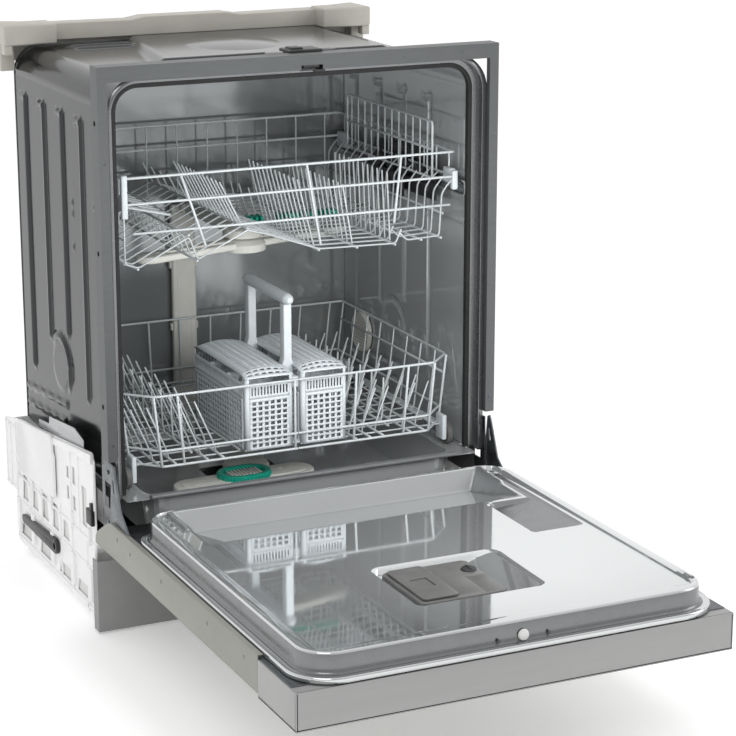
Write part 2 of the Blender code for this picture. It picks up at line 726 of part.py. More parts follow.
def build_adjuster(word, sign):
    plate = block(
        f"height_adjuster_{word}", (span(sign, 0.2565, 0.2592)[0], 0.110, 0.572),
        (span(sign, 0.2565, 0.2592)[1], 0.330, 0.642), "black_plastic",
    )
    soften(plate, 0.0008, 1)


def build_rack_rail(word, sign):
    x0, x1 = span(sign, 0.2597, 0.2640)
    rail = block(f"rack_rail_{word}", (x0, 0.030, 0.596), (x1, 0.455, 0.618), "stainless")
    soften(rail, 0.0008, 1)


def build_upper_arm():
    across = Vector((math.cos(math.radians(14)), math.sin(math.radians(14))))
    hub = Vector((HUB.x, HUB.y))
    blade = slab(
        "upper_spray_arm", [
            link_outline(hub - across * 0.168, 0.020, hub + across * 0.172, 0.020)
        ], UPPER_ARM_Z, UPPER_ARM_Z + 0.011, "Z",
        "arm_grey", HUB + Vector((0, 0, UPPER_ARM_Z)),
    )
    centre = rod(
        "upper_hub_shape", HUB + Vector((0, 0, UPPER_ARM_Z + 0.005)), 0.034, 0.020, "Z", tip_radius=0.026
    )
    join(blade, centre)
    pipe = block(
        "upper_feed_pipe", (-0.019, HUB.y - 0.019, 0.5215), (0.019, DUCT_FRONT - GAP, 0.5340), "arm_grey"
    )
    soften(pipe, 0.005, 3)


# ------------------------------------------------------------------ lower rack
def build_lower_rack():
    bm = divided_box(
        (
            -LOWER_HALF, LOWER_FRONT, LOWER_FLOOR
        ), (LOWER_HALF, LOWER_REAR, LOWER_RIM), (7, 5, 2), drop_top=True
    )
    corner = 0.036
    for vert in bm.verts:
        if abs(vert.co.y - LOWER_FRONT) < 1e-6 and abs(abs(vert.co.x) - LOWER_HALF) < 1e-6:
            vert.co.y += corner
    for vert in bm.verts:
        depth = (LOWER_RIM - vert.co.z) / (LOWER_RIM - LOWER_FLOOR)
        vert.co.x *= 1 - depth * LOWER_TAPER / LOWER_HALF
    grid_wires("lower_rack", bm, "wire_grey", (0, LOWER_FRONT, LOWER_FLOOR))


TINE_X, TINE_Z = 0.155, 0.2535


def build_tine_row(word, sign):
    """A comb of tines on a base wire that lies along Y on the rack's floor."""
    count, first, pitch, tall, foot = 9, 0.070, 0.040, 0.072, 0.004
    outline = [(first - 0.006, TINE_Z), (first + pitch * (count - 1) + 0.006, TINE_Z)]
    for tine in range(count - 1, -1, -1):
        y = first + pitch * tine
        outline += [(y + 0.006 if tine == count - 1 else y + 0.0016, TINE_Z + foot)]
        outline += [(y + 0.0016, TINE_Z + foot)] if tine == count - 1 else []
        outline += [(y + 0.0016, TINE_Z + tall), (y - 0.0016, TINE_Z + tall), (y - 0.0016, TINE_Z + foot)]
    outline += [(first - 0.006, TINE_Z + foot)]
    x = sign * TINE_X
    slab(
        f"tine_row_{word}", [outline], x - 0.0016, x + 0.0016, "X", "wire_grey", (x, 0.230, TINE_Z + 0.002)
    )


BASKET_HALF, BASKET_FRONT, BASKET_REAR = 0.0795, 0.039, 0.240
BASKET_LOW, BASKET_HIGH, GRIP_Z = 0.2515, 0.370, 0.459


def build_cutlery_basket():
    low, high = (-BASKET_HALF, BASKET_FRONT, BASKET_LOW), (BASKET_HALF, BASKET_REAR, BASKET_HIGH)
    basket = block(
        "cutlery_basket", low, high, "basket_grey", (0, (BASKET_FRONT + BASKET_REAR) / 2, BASKET_LOW)
    )
    wall, spine = 0.0025, 0.009
    length = (BASKET_REAR - BASKET_FRONT - wall) / 3
    pockets = []
    for word, sign in SIDES:
        x0, x1 = span(sign, spine, BASKET_HALF - wall)
        for cell in range(3):
            y = BASKET_FRONT + wall + cell * length
            pockets.append(
                block(
                    f"pocket_{word}_{cell}_cutter", (x0, y, BASKET_LOW + wall),
                    (x1, y + length - wall, 0.400),
                )
            )
    posts = [
        block(
            f"basket_post_{word}_shape", (-0.0075, y - 0.008, BASKET_HIGH - 0.05),
            (0.0075, y + 0.008, GRIP_Z),
        )
        for word, y in (("front", 0.082), ("rear", 0.214))
    ]
    grip = rod("basket_grip_shape", (0, 0.148, GRIP_Z), 0.0095, 0.165, "Y", segments=16)
    join(cut(basket, *pockets), *posts, grip)


def build_wheels():
    for word, sign in SIDES:
        for place_word, y in zip(("front", "rear"), WHEEL_Y):
            centre = (sign * WHEEL_X, y, WHEEL_Z)
            name = f"wheel_{place_word}_{word}"
            wheel = rod(name, centre, WHEEL_R, 0.009, "X", "dark_grey_plastic", centre, segments=28)
            soften(wheel, 0.0015)


# ------------------------------------------------------------------ lower spray arm
def build_lower_arm():
    hub = Vector((HUB.x, HUB.y))
    planet = Vector((SATELLITE.x, SATELLITE.y))
    away = (hub - planet).normalized()
    pivot = HUB + Vector((0, 0, LOWER_ARM_Z))
    blade = slab(
        "lower_spray_arm", [
            link_outline(planet, 0.030, hub + away * 0.182, 0.022)
        ], LOWER_ARM_Z - 0.006, LOWER_ARM_Z + 0.004, "Z",
        "arm_grey", pivot,
    )
    centre = rod("lower_hub_shape", pivot - Vector((0, 0, 0.002)), 0.036, 0.0124, "Z", tip_radius=0.032)
    join(blade, centre)
    along = Vector((math.cos(math.radians(4)), math.sin(math.radians(4))))
    reach = ARM_REACH - (hub - planet).length - 0.026
    top = Vector((SATELLITE.x, SATELLITE.y, LOWER_ARM_Z + 0.0048))
    satellite = slab(
        "satellite_arm", [
            link_outline(planet - along * reach, 0.026, planet + along * reach, 0.026)
        ], top.z, top.z + 0.009, "Z",
        "arm_grey", top,
    )
    cap = slab("satellite_cap_shape", [link_outline(planet - along * 0.026, 0.018, planet + along * 0.026, 0.018)],
               top.z + 0.008, top.z + 0.019, "Z")
    join(satellite, cap)


# ------------------------------------------------------------------ the whole machine
build_tub_wrap()
build_tub_back()
build_tub_floor()
build_front_frame()
build_seals()
build_feed_duct()
build_vent_cap()
build_salt_cap()
build_base_tray()
build_water_tank()
build_kick_plate()
build_feet()
build_sump()
build_filter()
build_pumps()
build_counterweight()
build_rear_cover()
build_latch()
build_outer_door()
build_control_panel()
build_liner()
build_dispenser()
build_striker()
build_upper_rack()
build_upper_arm()
build_lower_rack()
build_cutlery_basket()
build_wheels()
build_lower_arm()
for build in (
    build_hinge_bracket,
    build_spring,
    build_tension_lever,
    build_hinge_arm,
    build_cup_shelf,
    build_adjuster,
    build_rack_rail,
    build_tine_row,
):
    sides(build)
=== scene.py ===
"""Built-in dishwasher with its door open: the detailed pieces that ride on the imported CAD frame.

Lengths are in millimetres from the front plane of the tub's front frame, as in the CAD source,
and P() turns them into the frame's metres.
"""

import math

import bmesh
import bpy
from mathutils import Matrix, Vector


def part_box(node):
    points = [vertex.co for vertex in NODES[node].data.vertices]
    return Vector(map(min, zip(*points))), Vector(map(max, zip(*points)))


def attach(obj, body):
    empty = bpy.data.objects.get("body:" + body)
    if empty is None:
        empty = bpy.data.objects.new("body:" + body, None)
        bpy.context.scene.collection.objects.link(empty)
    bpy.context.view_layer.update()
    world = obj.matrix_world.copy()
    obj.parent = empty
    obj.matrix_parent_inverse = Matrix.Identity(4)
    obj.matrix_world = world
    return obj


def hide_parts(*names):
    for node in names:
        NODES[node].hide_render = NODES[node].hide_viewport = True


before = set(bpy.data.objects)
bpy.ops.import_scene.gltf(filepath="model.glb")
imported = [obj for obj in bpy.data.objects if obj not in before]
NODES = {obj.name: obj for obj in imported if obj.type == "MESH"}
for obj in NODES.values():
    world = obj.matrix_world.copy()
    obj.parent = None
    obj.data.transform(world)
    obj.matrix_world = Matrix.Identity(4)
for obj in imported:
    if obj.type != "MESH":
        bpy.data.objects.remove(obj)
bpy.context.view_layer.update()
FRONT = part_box("front_frame")[0][1]
SIDES = (("left", -1), ("right", 1))
scene = bpy.context.scene

HINGE_Y, HINGE_Z = -12, 180
DOOR_HALF, DOOR_END = 298, -636
KEY_X, KEY_Y = 250, -585
ARM_Y = 236  # the main spray arms' axis; PLANET is the satellite arm's
PLANET = (-42, 140)
RACK_RIM, RACK_DEPTH, RACK_NARROWING = 351, 105, 13.0
THICK_WIRE = 1.9


def P(x, y, z):
    return Vector((x * 0.001, FRONT + y * 0.001, z * 0.001))


# ------------------------------------------------------------------ materials
def add_node(tree, kind, inputs=None):
    """A shader node with some of its inputs set."""
    node = tree.nodes.new("ShaderNode" + kind)
    for name, value in (inputs or {}).items():
        node.inputs[name].default_value = value
    return node


def finish(
    name, colour, rough, metal, scale, stretch, tone, swing, bump=0.05, bump_mm=0.05, fine=400.0
):
    """A surface whose colour, gloss and height all wander a little, along a grain if one is given."""
    material = bpy.data.materials.new(name)
    material.use_nodes = True
    tree = material.node_tree
    link = tree.links.new
    shader = tree.nodes["Principled BSDF"]
    shader.inputs["Metallic"].default_value = metal
    place = add_node(tree, "TexCoord")
    grain = add_node(tree, "Mapping", {"Scale": stretch})
    broad = add_node(tree, "TexNoise", {"Scale": scale, "Detail": 5.0, "Roughness": 0.6})
    small = add_node(tree, "TexNoise", {"Scale": fine, "Detail": 3.0})
    colours = add_node(tree, "ValToRGB")
    low, high = colours.color_ramp.elements
    low.position, high.position = 0.3, 0.7
    low.color = (*(c * (1 - tone) for c in colour), 1)
    high.color = (*(min(1, c * (1 + tone)) for c in colour), 1)
    limits = {"To Min": max(0.01, rough - swing), "To Max": min(1.0, rough + swing)}
    gloss = add_node(tree, "MapRange", {"From Min": 0.3, "From Max": 0.7, **limits})
    raised = add_node(tree, "Bump", {"Strength": bump, "Distance": bump_mm * 0.001})
    link(place.outputs["Object"], grain.inputs["Vector"])
    link(grain.outputs["Vector"], broad.inputs["Vector"])
    link(grain.outputs["Vector"], small.inputs["Vector"])
    link(broad.outputs["Fac"], colours.inputs["Fac"])
    link(colours.outputs["Color"], shader.inputs["Base Color"])
    link(small.outputs["Fac"], gloss.inputs["Value"])
    link(gloss.outputs["Result"], shader.inputs["Roughness"])
    link(small.outputs["Fac"], raised.inputs["Height"])
    link(raised.outputs["Normal"], shader.inputs["Normal"])
    return material


LOOKS = {
    "inner_steel": ((0.49, 0.505, 0.51), 0.10, 0.62, 4, (1, 1, 1), 0.03, 0.02, 0.01, 0.02, 14),
    # A darker copy of the inner steel for the back panel: painted shade at the back of the tub.
    "painted_shade_back_steel": ((0.33, 0.345, 0.35), 0.11, 0.66, 4, (1, 1, 1), 0.03, 0.02, 0.01, 0.02, 14),
    # The tub's outside: the same steel as inside but far darker, painted shade for the dim surroundings its
    # sides and roof reflect.
    "painted_shade_outer_steel": ((0.046, 0.048, 0.050), 0.15, 0.75, 4, (1, 1, 0.1), 0.03, 0.012, 0.01, 0.02, 14),
    "mirror_steel": ((0.67, 0.685, 0.69), 0.045, 0.86, 5, (1, 1, 1), 0.02, 0.02, 0.04, 0.05, 25),
    # A darker copy of the mirror steel for the same sheet: painted shade on the liner's outer walls and its
    # tray, and on the tub's front flange.
    "painted_shade_lip_steel": ((0.22, 0.225, 0.23), 0.24, 0.85, 8, (1, 1, 1), 0.04, 0.05, 0.08, 0.06, 60),
    # Another darker, duller copy of the mirror steel: painted shade in the trough at the hinge end.
    "painted_shade_ramp_steel": ((0.40, 0.41, 0.415), 0.34, 0.85, 8, (1, 1, 1), 0.03, 0.02, 0.01, 0.02, 30),
    "frame_steel": ((0.108, 0.113, 0.116), 0.42, 0.6, 30, (1, 1, 6), 0.05, 0.06),
    "brushed_steel": ((0.42, 0.43, 0.44), 0.28, 1.0, 60, (1, 0.05, 1), 0.10, 0.08, 0.15, 0.04, 500),
    "hinge_steel": ((0.16, 0.17, 0.18), 0.35, 1.0, 60, (1, 1, 1), 0.15, 0.1),
    "door_paint": ((0.285, 0.285, 0.255), 0.42, 0.25, 25, (1, 1, 1), 0.04, 0.06),
    "panel_grey": ((0.36, 0.36, 0.357), 0.40, 0.45, 30, (0.1, 1, 1), 0.04, 0.06),
    "kick_grey": ((0.27, 0.27, 0.27), 0.5, 0.1, 20, (1, 1, 1), 0.05, 0.06),
    "cover_beige": ((0.53, 0.51, 0.46), 0.55, 0.0, 30, (1, 1, 1), 0.05, 0.08, 0.2),
    "white_plastic": ((0.88, 0.88, 0.88), 0.38, 0.0, 20, (1, 1, 1), 0.03, 0.08, 0.15, 0.06),
    "tank_white": ((0.82, 0.82, 0.82), 0.22, 0.0, 12, (1, 1, 1), 0.02, 0.05, 0.1),
    "black_plastic": ((0.018, 0.018, 0.019), 0.42, 0.0, 50, (1, 1, 1), 0.2, 0.1, 0.25, 0.05),
    "dark_plastic": ((0.085, 0.085, 0.083), 0.36, 0.0, 50, (1, 1, 1), 0.1, 0.08, 0.2, 0.05),
    "grey_rubber": ((0.13, 0.135, 0.14), 0.35, 0.0, 60, (1, 1, 1), 0.08, 0.1, 0.3, 0.08),
    # A duller copy of the white plastic: painted shade for the inside of the base seen through its windows.
    "painted_shade_white": ((0.70, 0.70, 0.69), 0.45, 0.0, 20, (1, 1, 1), 0.05, 0.08, 0.15, 0.06),
    "rubber": ((0.012, 0.012, 0.012), 0.62, 0.0, 60, (1, 1, 1), 0.2, 0.1, 0.3, 0.08),
    "wire": ((0.47, 0.50, 0.51), 0.26, 0.15, 90, (1, 1, 1), 0.05, 0.08, 0.1, 0.04, 700),
    "basket": ((0.47, 0.505, 0.525), 0.42, 0.0, 60, (1, 1, 1), 0.04, 0.08, 0.15, 0.05),
    "arm": ((0.52, 0.52, 0.485), 0.45, 0.0, 40, (1, 1, 1), 0.05, 0.08, 0.2, 0.06),
    "teal": ((0.008, 0.27, 0.19), 0.32, 0.0, 60, (1, 1, 1), 0.08, 0.08, 0.1, 0.05),
    "cast_iron": ((0.05, 0.05, 0.05), 0.7, 0.7, 90, (1, 1, 1), 0.3, 0.1, 0.8, 0.4),
    "spring": ((0.30, 0.31, 0.32), 0.3, 1.0, 90, (1, 1, 1), 0.1, 0.08),
    "clear": ((0.72, 0.72, 0.70), 0.18, 0.0, 30, (1, 1, 1), 0.03, 0.05, 0.1, 0.05, 200),
    "floor": ((0.90, 0.90, 0.90), 0.85, 0.0, 3, (1, 1, 1), 0.01, 0.03, 0.02),
}
MAT = {name: finish(name, *look) for name, look in LOOKS.items()}
glow = MAT["floor"].node_tree.nodes["Principled BSDF"].inputs
glow["Emission Color"].default_value = (1, 1, 1, 1)
glow["Emission Strength"].default_value = 0.28


# ------------------------------------------------------------------ mesh helpers
def piece(name, mesh, material, body, nodes=(), angle=35):
    """One visible piece from a mesh or a list of meshes, riding on a body and standing for CAD nodes."""
    if isinstance(mesh, list):
        mesh = merge(name, mesh)
    obj = bpy.data.objects.new(name, mesh)
    scene.collection.objects.link(obj)
    if material:
        mesh.materials.clear()
        mesh.materials.append(MAT[material])
    mesh.shade_smooth()
    mesh.set_sharp_from_angle(angle=math.radians(angle))
    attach(obj, body)
    for node in nodes:
        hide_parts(node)
    return obj


def plain_mesh(name, verts, faces):
    mesh = bpy.data.meshes.new(name)
    mesh.from_pydata([tuple(v) for v in verts], [], faces)
    return mesh


def outward_mesh(mesh, weld=0.0):
    """The mesh with its points welded, if a distance is given, and its faces turned outwards."""
    bm = bmesh.new()
    bm.from_mesh(mesh)
    if weld:
        bmesh.ops.remove_doubles(bm, verts=bm.verts, dist=weld)
    bmesh.ops.recalc_face_normals(bm, faces=bm.faces)
    bm.to_mesh(mesh)
    bm.free()
    return mesh


def raw_mesh(name, verts, faces):
    return outward_mesh(plain_mesh(name, verts, faces))


def clip_x(mesh, half):
    """Hold the points within a distance of the middle plane, in metres."""
    for v in mesh.vertices:
        v.co.x = max(-half, min(half, v.co.x))
    return mesh


def merge(name, meshes):
    verts, faces = [], []
    for mesh in meshes:
        base = len(verts)
        verts += [v.co.copy() for v in mesh.vertices]
        faces += [tuple(base + i for i in p.vertices) for p in mesh.polygons]
        bpy.data.meshes.remove(mesh)
    return plain_mesh(name, verts, faces)


def quads(rows, columns, closed=False):
    """The faces of a grid of points kept row by row; a closed grid also joins the ends of its rows."""
    faces = []
    for i in range(0, (rows - 1) * columns, columns):
        for j in range(columns if closed else columns - 1):
            k = (j + 1) % columns
            faces.append((i + j, i + k, i + columns + k, i + columns + j))
    return faces


def fillet(points, radius, steps=3):
    """The same path with its corners rounded."""
    points = [Vector(p) for p in points]
    out = [points[0]]
    for before, here, after in zip(points, points[1:], points[2:]):
        a, b = before - here, after - here
        if a.length < 1e-7 or b.length < 1e-7:
            continue
        reach = min(radius, a.length * 0.45, b.length * 0.45)
        p0, p2 = here + a.normalized() * reach, here + b.normalized() * reach
        for i in range(steps + 1):
            t = i / steps
            out.append(p0 * (1 - t) ** 2 + here * 2 * t * (1 - t) + p2 * t * t)
    out.append(points[-1])
    return out


def wires(paths, radius, sides=8, bend=6.0, name="wires"):
    """Round wires along paths given in millimetres, each with domed ends."""
    verts, faces = [], []
    for path in paths:
        pts = [P(*p) for p in path]
        pts = fillet(pts, bend * 0.001) if len(pts) > 2 else pts
        pts = [pts[0]] + [b for a, b in zip(pts, pts[1:]) if (b - a).length > 1e-6]
        first, last = (pts[1] - pts[0]).normalized(), (pts[-1] - pts[-2]).normalized()
        r = radius * 0.001
        rings = [(pts[0], first, 0.55 * r)]
        rings.append((pts[0] + first * r * 0.5, first, r))
        for i in range(1, len(pts) - 1):
            tangent = ((pts[i + 1] - pts[i]).normalized() + (pts[i] - pts[i - 1]).normalized()).normalized()
            rings.append((pts[i], tangent, r))
        rings.append((pts[-1] - last * r * 0.5, last, r))
        rings.append((pts[-1], last, 0.55 * r))
        tangent = rings[0][1]
        side = tangent.orthogonal().normalized()
        base = len(verts)
        for centre, direction, size in rings:
            side = tangent.rotation_difference(direction) @ side
            tangent = direction
            side = (side - direction * side.dot(direction)).normalized()
            up = direction.cross(side)
            for k in range(sides):
                a = math.tau * k / sides
                verts.append(centre + (side * math.cos(a) + up * math.sin(a)) * size)
        faces += [tuple(base + k for k in face) for face in quads(len(rings), sides, True)]
        faces.append(tuple(base + k for k in reversed(range(sides))))
        faces.append(tuple(len(verts) - sides + k for k in range(sides)))
    return plain_mesh(name, verts, faces)


def lathe(profile, centre, axis=(0, 0, 1), steps=40, arc=math.tau):
    """(radius, height) points turned about an axis, in millimetres."""
    turn = Vector((0, 0, 1)).rotation_difference(Vector(axis).normalized())
    centre = P(*centre)
    verts, faces = [], []
    for k in range(steps):
        a = arc * k / steps
        for radius, height in profile:
            local = Vector((radius * math.cos(a), radius * math.sin(a), height)) * 0.001
            verts.append(centre + turn @ local)
    n = len(profile)
    for k in range(steps):
        m = (k + 1) % steps
        for i in range(n - 1):
            faces.append((k * n + i, m * n + i, m * n + i + 1, k * n + i + 1))
    return outward_mesh(raw_mesh("turned", verts, faces), 1e-6)


def rounded_box(low, high, radius=1.0, segments=3):
    bm = bmesh.new()
    bmesh.ops.create_cube(bm, size=1)
    low, high = P(*low), P(*high)
    for v in bm.verts:
        v.co = Vector([(low[i] + high[i]) / 2 + v.co[i] * (high[i] - low[i]) for i in range(3)])
    bmesh.ops.bevel(
        bm, geom=list(bm.edges), offset=radius * 0.001, segments=segments, affect="EDGES", profile=0.5
    )
    mesh = bpy.data.meshes.new("box")
    bm.to_mesh(mesh)
    bm.free()
    return mesh


def boxes(*shapes):
    return [rounded_box(*shape) for shape in shapes]


def span(side, a, b):
    """Two distances from the middle plane, as the low and the high x on one side."""
    return sorted((side * a, side * b))


def side_box(side, across, low, high, *shape):
    """A rounded box on one side: its two distances from the middle, then its (y, z) corners."""
    a, b = span(side, *across)
    return rounded_box((a, *low), (b, *high), *shape)


def ring_of(u, v, r, count=20):
    """A circle as an outline."""
    turns = [math.tau * i / count for i in range(count)]
    return [(u + r * math.cos(a), v + r * math.sin(a)) for a in turns]


def extrude(outlines, low, high, across, bevel=0.0, segments=2):
    """An outline, then its holes, pushed through from one plane to another, with softened edges."""
    curve = bpy.data.curves.new("outline", "CURVE")
    curve.dimensions = "2D"
    curve.fill_mode = "BOTH"
    curve.extrude = (high - low) / 2
    for outline in outlines:
        spline = curve.splines.new("POLY")
        spline.points.add(len(outline) - 1)
        for point, (u, v) in zip(spline.points, outline):
            point.co = (u, v, 0, 1)
        spline.use_cyclic_u = True
    flat = bpy.data.objects.new("outline", curve)
    scene.collection.objects.link(flat)
    mesh = bpy.data.meshes.new_from_object(flat.evaluated_get(bpy.context.evaluated_depsgraph_get()))
    bpy.data.objects.remove(flat)
    bm = bmesh.new()
    bm.from_mesh(mesh)
    bmesh.ops.remove_doubles(bm, verts=bm.verts, dist=1e-4)
    middle = (low + high) / 2
    for v in bm.verts:
        u, w, d = v.co
        v.co = {"X": P(d + middle, u, w), "Y": P(u, d + middle, w), "Z": P(u, w, d + middle)}[across]
    bmesh.ops.recalc_face_normals(bm, faces=bm.faces)
    if bevel:
        bmesh.ops.dissolve_limit(bm, angle_limit=0.01, verts=bm.verts, edges=bm.edges)
        sharp = [e for e in bm.edges if len(e.link_faces) == 2 and e.calc_face_angle(0) > 0.6]
        shape = {"affect": "EDGES", "profile": 0.5, "clamp_overlap": True}
        bmesh.ops.bevel(bm, geom=sharp, offset=bevel * 0.001, segments=segments, **shape)
    bm.to_mesh(mesh)
    bm.free()
    mesh.materials.clear()
    return mesh


def grid_sheet(name, rows, closed=False):
    return plain_mesh(name, [v for row in rows for v in row], quads(len(rows), len(rows[0]), closed))


def perforated(corner, across, up, columns, rows, bar_u=0.35, bar_v=0.35, margin_u=0.04, margin_v=0.04):
    """A plate of oblong holes: corner and the two edge vectors in millimetres, one sheet thick."""
    corner, across, up = Vector(corner), Vector(across), Vector(up)

    def stops(count, margin, bar):
        pitch = (1 - 2 * margin) / count
        out = [0.0]
        for i in range(count):
            out += [margin + pitch * (i + bar / 2), margin + pitch * (i + 1 - bar / 2)]
        return out + [1.0]

    us, vs = stops(columns, margin_u, bar_u), stops(rows, margin_v, bar_v)
    verts = [P(*(corner + across * u + up * v)) for v in vs for u in us]
    n = len(us)
    bars = [face for face in quads(len(vs), n) if not (face[0] % n % 2 and face[0] // n % 2)]
    return plain_mesh("plate", verts, bars)


def thicken(obj, mm, offset=-1.0, bevel=0.0, even=True):
    solid = obj.modifiers.new("Solidify", "SOLIDIFY")
    solid.thickness = mm * 0.001
    solid.offset = offset
    solid.use_even_offset = even
    if bevel:
        edge = obj.modifiers.new("Bevel", "BEVEL")
        edge.width = bevel * 0.001
        edge.segments = 2
        edge.limit_method = "ANGLE"
        edge.harden_normals = False
    return obj


def smoothstep(a, b, x):
    if a == b:
        return float(x >= b)
    t = max(0.0, min(1.0, (x - a) / (b - a)))
    return t * t * (3 - 2 * t)


def box_distance(x, y, x0, x1, y0, y1, radius):
    """Distance outside a rounded rectangle, negative inside."""
    dx = abs(x - (x0 + x1) / 2) - (x1 - x0) / 2 + radius
    dy = abs(y - (y0 + y1) / 2) - (y1 - y0) / 2 + radius
    return math.hypot(max(dx, 0), max(dy, 0)) + min(max(dx, dy), 0) - radius


def repaint(material, *nodes):
    for node in nodes:
        obj = NODES[node]
        obj.data.materials.clear()
        obj.data.materials.append(MAT[material])


# ------------------------------------------------------------------ tub
TUB_HALF, TUB_TOP, TUB_CORNER, TUB_FOOT = 271.0, 790.0, 38.0, 216.0
SIDE_STEPS, BEND_STEPS, ROOF_STEPS = 150, 12, 110
RIBS = ((158, 320), (241, 397), (326, 377), (412, 311))


def side_emboss(y, z, sign):
    """How far the tub's side stands out of its plane, in millimetres."""
    out = 0.0
    for centre, foot in RIBS:
        stem = 1 - smoothstep(3.0, 6.0, abs(y - centre))
        stem *= smoothstep(foot - 6, foot + 4, z) * (1 - smoothstep(722, 728, z))
        top = 1 - smoothstep(3.0, 6.0, abs(z - 722 + (y - centre) * 0.10))
        top *= smoothstep(centre - 6, centre, y) * (1 - smoothstep(centre + 24, centre + 30, y))
        out = max(out, 4.0 * stem, 4.0 * top)
    ring = abs(math.hypot(y - 283, z - 342) - 44)
    out = max(
        out, 4.5 * (1 - smoothstep(3.0, 7.0, ring)) * smoothstep(-10, 30, (z - 342) - (y - 283) * 0.9)
    )
    out = max(out, 1.4 * (1 - smoothstep(34, 40, math.hypot(y - 283, z - 342))))
    out += 2.4 * smoothstep(754, 760, z)
    foot_line = 286 - (y - 280) * 0.09
    out = max(out, 3.4 * (1 - smoothstep(3, 6, abs(z - foot_line))) * smoothstep(250, 258, y))
    out = max(out, 3.0 * (1 - smoothstep(2, 5, abs(z - foot_line + 26))) * smoothstep(262, 270, y))
    for bolt_y, bolt_z in ((205, 600), (205, 584), (205, 536), (110, 610), (104, 380)):
        out = max(out, 1.6 * (1 - smoothstep(2.5, 5, math.hypot(y - bolt_y, z - bolt_z))))
    if sign > 0:
        out = max(out, 2.0 * (1 - smoothstep(34, 42, math.hypot(y - 392, z - 309))))
    return out


def top_emboss(x, y):
    """How far the roof stands up: cross ribs, a raised panel with a crease, and two domes."""
    out = -3.0 * (1 - smoothstep(3, 8, abs(abs(x) - 222)))
    for centre in (70, 112, 154, 390, 420):
        out = max(out, 3.4 * (1 - smoothstep(3, 9, abs(y - centre))) * (1 - smoothstep(192, 206, abs(x))))
    edge = -150 + (y - 150) * 0.18
    plateau = smoothstep(edge - 8, edge + 8, x) * (1 - smoothstep(204, 216, x))
    plateau *= smoothstep(166, 180, y) * (1 - smoothstep(436, 450, y))
    out = max(out, 9.0 * plateau)
    dome = math.hypot(x - 10, (y - 290) * 0.9)
    out += 4.0 * max(0.0, 1 - (dome / 70) ** 2)
    dome = math.hypot(x + 120, (y - 130) * 1.4)
    out += 5.0 * max(0.0, 1 - (dome / 46) ** 2)
    return out


def tub_section(growth):
    """(x, z, outward x, outward z) points of the tub's U from the right foot to the left."""
    half, top, corner = TUB_HALF + growth, TUB_TOP + growth, TUB_CORNER + growth
    side = []
    for i in range(SIDE_STEPS + 1):
        side.append((half, TUB_FOOT + (top - corner - TUB_FOOT) * i / SIDE_STEPS, 1, 0))
    for i in range(1, BEND_STEPS):
        nx, nz = math.cos(math.pi / 2 * i / BEND_STEPS), math.sin(math.pi / 2 * i / BEND_STEPS)
        side.append((half - corner + corner * nx, top - corner + corner * nz, nx, nz))
    roof = [((half - corner) * (1 - 2 * i / ROOF_STEPS), top, 0, 1) for i in range(ROOF_STEPS + 1)]
    return side + roof + [(-x, z, -nx, nz) for x, z, nx, nz in reversed(side)]


def build_tub():
    rows = []
    stations = [(14.3, 10.0), (8.0, 10.0), (8.0, 24.0), (7.2, 27.4), (0.8, 28.2)]
    stations += [(0.0, 30 + 3.0 * i) for i in range(144)] + [(0.0, 462.0)]
    for growth, y in stations:
        row = []
        for x, z, nx, nz in tub_section(growth):
            push = 0.0
            if growth == 0.0:
                edge = smoothstep(32, 42, y) * (1 - smoothstep(450, 460, y))
                if abs(nx) == 1:
                    push = side_emboss(y, z, nx) * edge
                elif nz == 1:
                    push = top_emboss(x, y) * edge
                else:
                    push = (2.2 * abs(nx)) * edge
            row.append(P(x + nx * push, y, z + nz * push))
        rows.append(row)
    tub = piece("tub_shell", grid_sheet("tub_shell", rows), None, "machine", ["tub_wrap"], 40)
    tub.data.materials.append(MAT["inner_steel"])
    for name in ("painted_shade_outer_steel", "painted_shade_lip_steel", "painted_shade_lip_steel"):
        tub.data.materials.append(MAT[name])
    # The tub's front flange gets the dark lip steel: painted shade between the frame and the gasket.
    across = len(rows[0]) - 1
    for face in tub.data.polygons[: 5 * across]:
        face.material_index = 2
    # The outer skin takes the next material along: the painted-shade outer steel, and the dark lip steel on
    # the flange.
    solid = thicken(tub, 1.2, 1.0).modifiers["Solidify"]
    solid.material_offset = 1
    return tub


build_tub()


# ------------------------------------------------------------------ front frame, gasket, latch
def arch(half, top, corner, foot, steps=10):
    points = [(half, foot)]
    for cx, start in ((half - corner, 0), (corner - half, 90)):
        for i in range(steps + 1):
            a = math.radians(start + 90 * i / steps)
            points.append((cx + corner * math.cos(a), top - corner + corner * math.sin(a)))
    return points + [(-half, foot)]


def build_gasket():
    """A hollow-looking lip: its rounded section runs up one side, over the top and down the other."""
    section = [(0, 0), (5.2, 0.2), (6.0, 2.4), (5.2, 5.0), (3.4, 6.2), (5.0, 8.0), (4.6, 9.6), (0, 9.8)]
    rows = []
    for inward, back in section:
        half = 270.4 - inward
        rows.append([P(x, 27.2 + back, z) for x, z in arch(half, 789.4 - inward, 37.4 - inward, 217)])
    piece("gasket_lip", grid_sheet("gasket_lip", rows), "rubber", "machine", ["door_gasket"], angle=60)


def build_frame_details():
    """Screw heads on the front frame's sides, and small flat ones on its front."""
    screws = []
    for side in (-1, 1):
        for z in (352, 566, 742):
            head = [(0, 1.2), (1.6, 1.2), (3.2, 0.6), (3.6, 0), (0, 0)]
            screws.append(clip_x(lathe(head, (side * 299.0, 15, z), (side, 0, 0), 20), 0.299))
        for z in (300, 690):
            head = [(0, 0.5), (2.4, 0.5), (3.0, 0), (0, 0)]
            screws.append(lathe(head, (side * 292, 0, z), (0, -1, 0), 20))
    for x in (150, 240):
        screws.append(lathe([(0, 0.5), (2.0, 0.5), (2.6, 0), (0, 0)], (x, 0, 808), (0, -1, 0), 20))
    piece("frame_screws", screws, "hinge_steel", "machine")


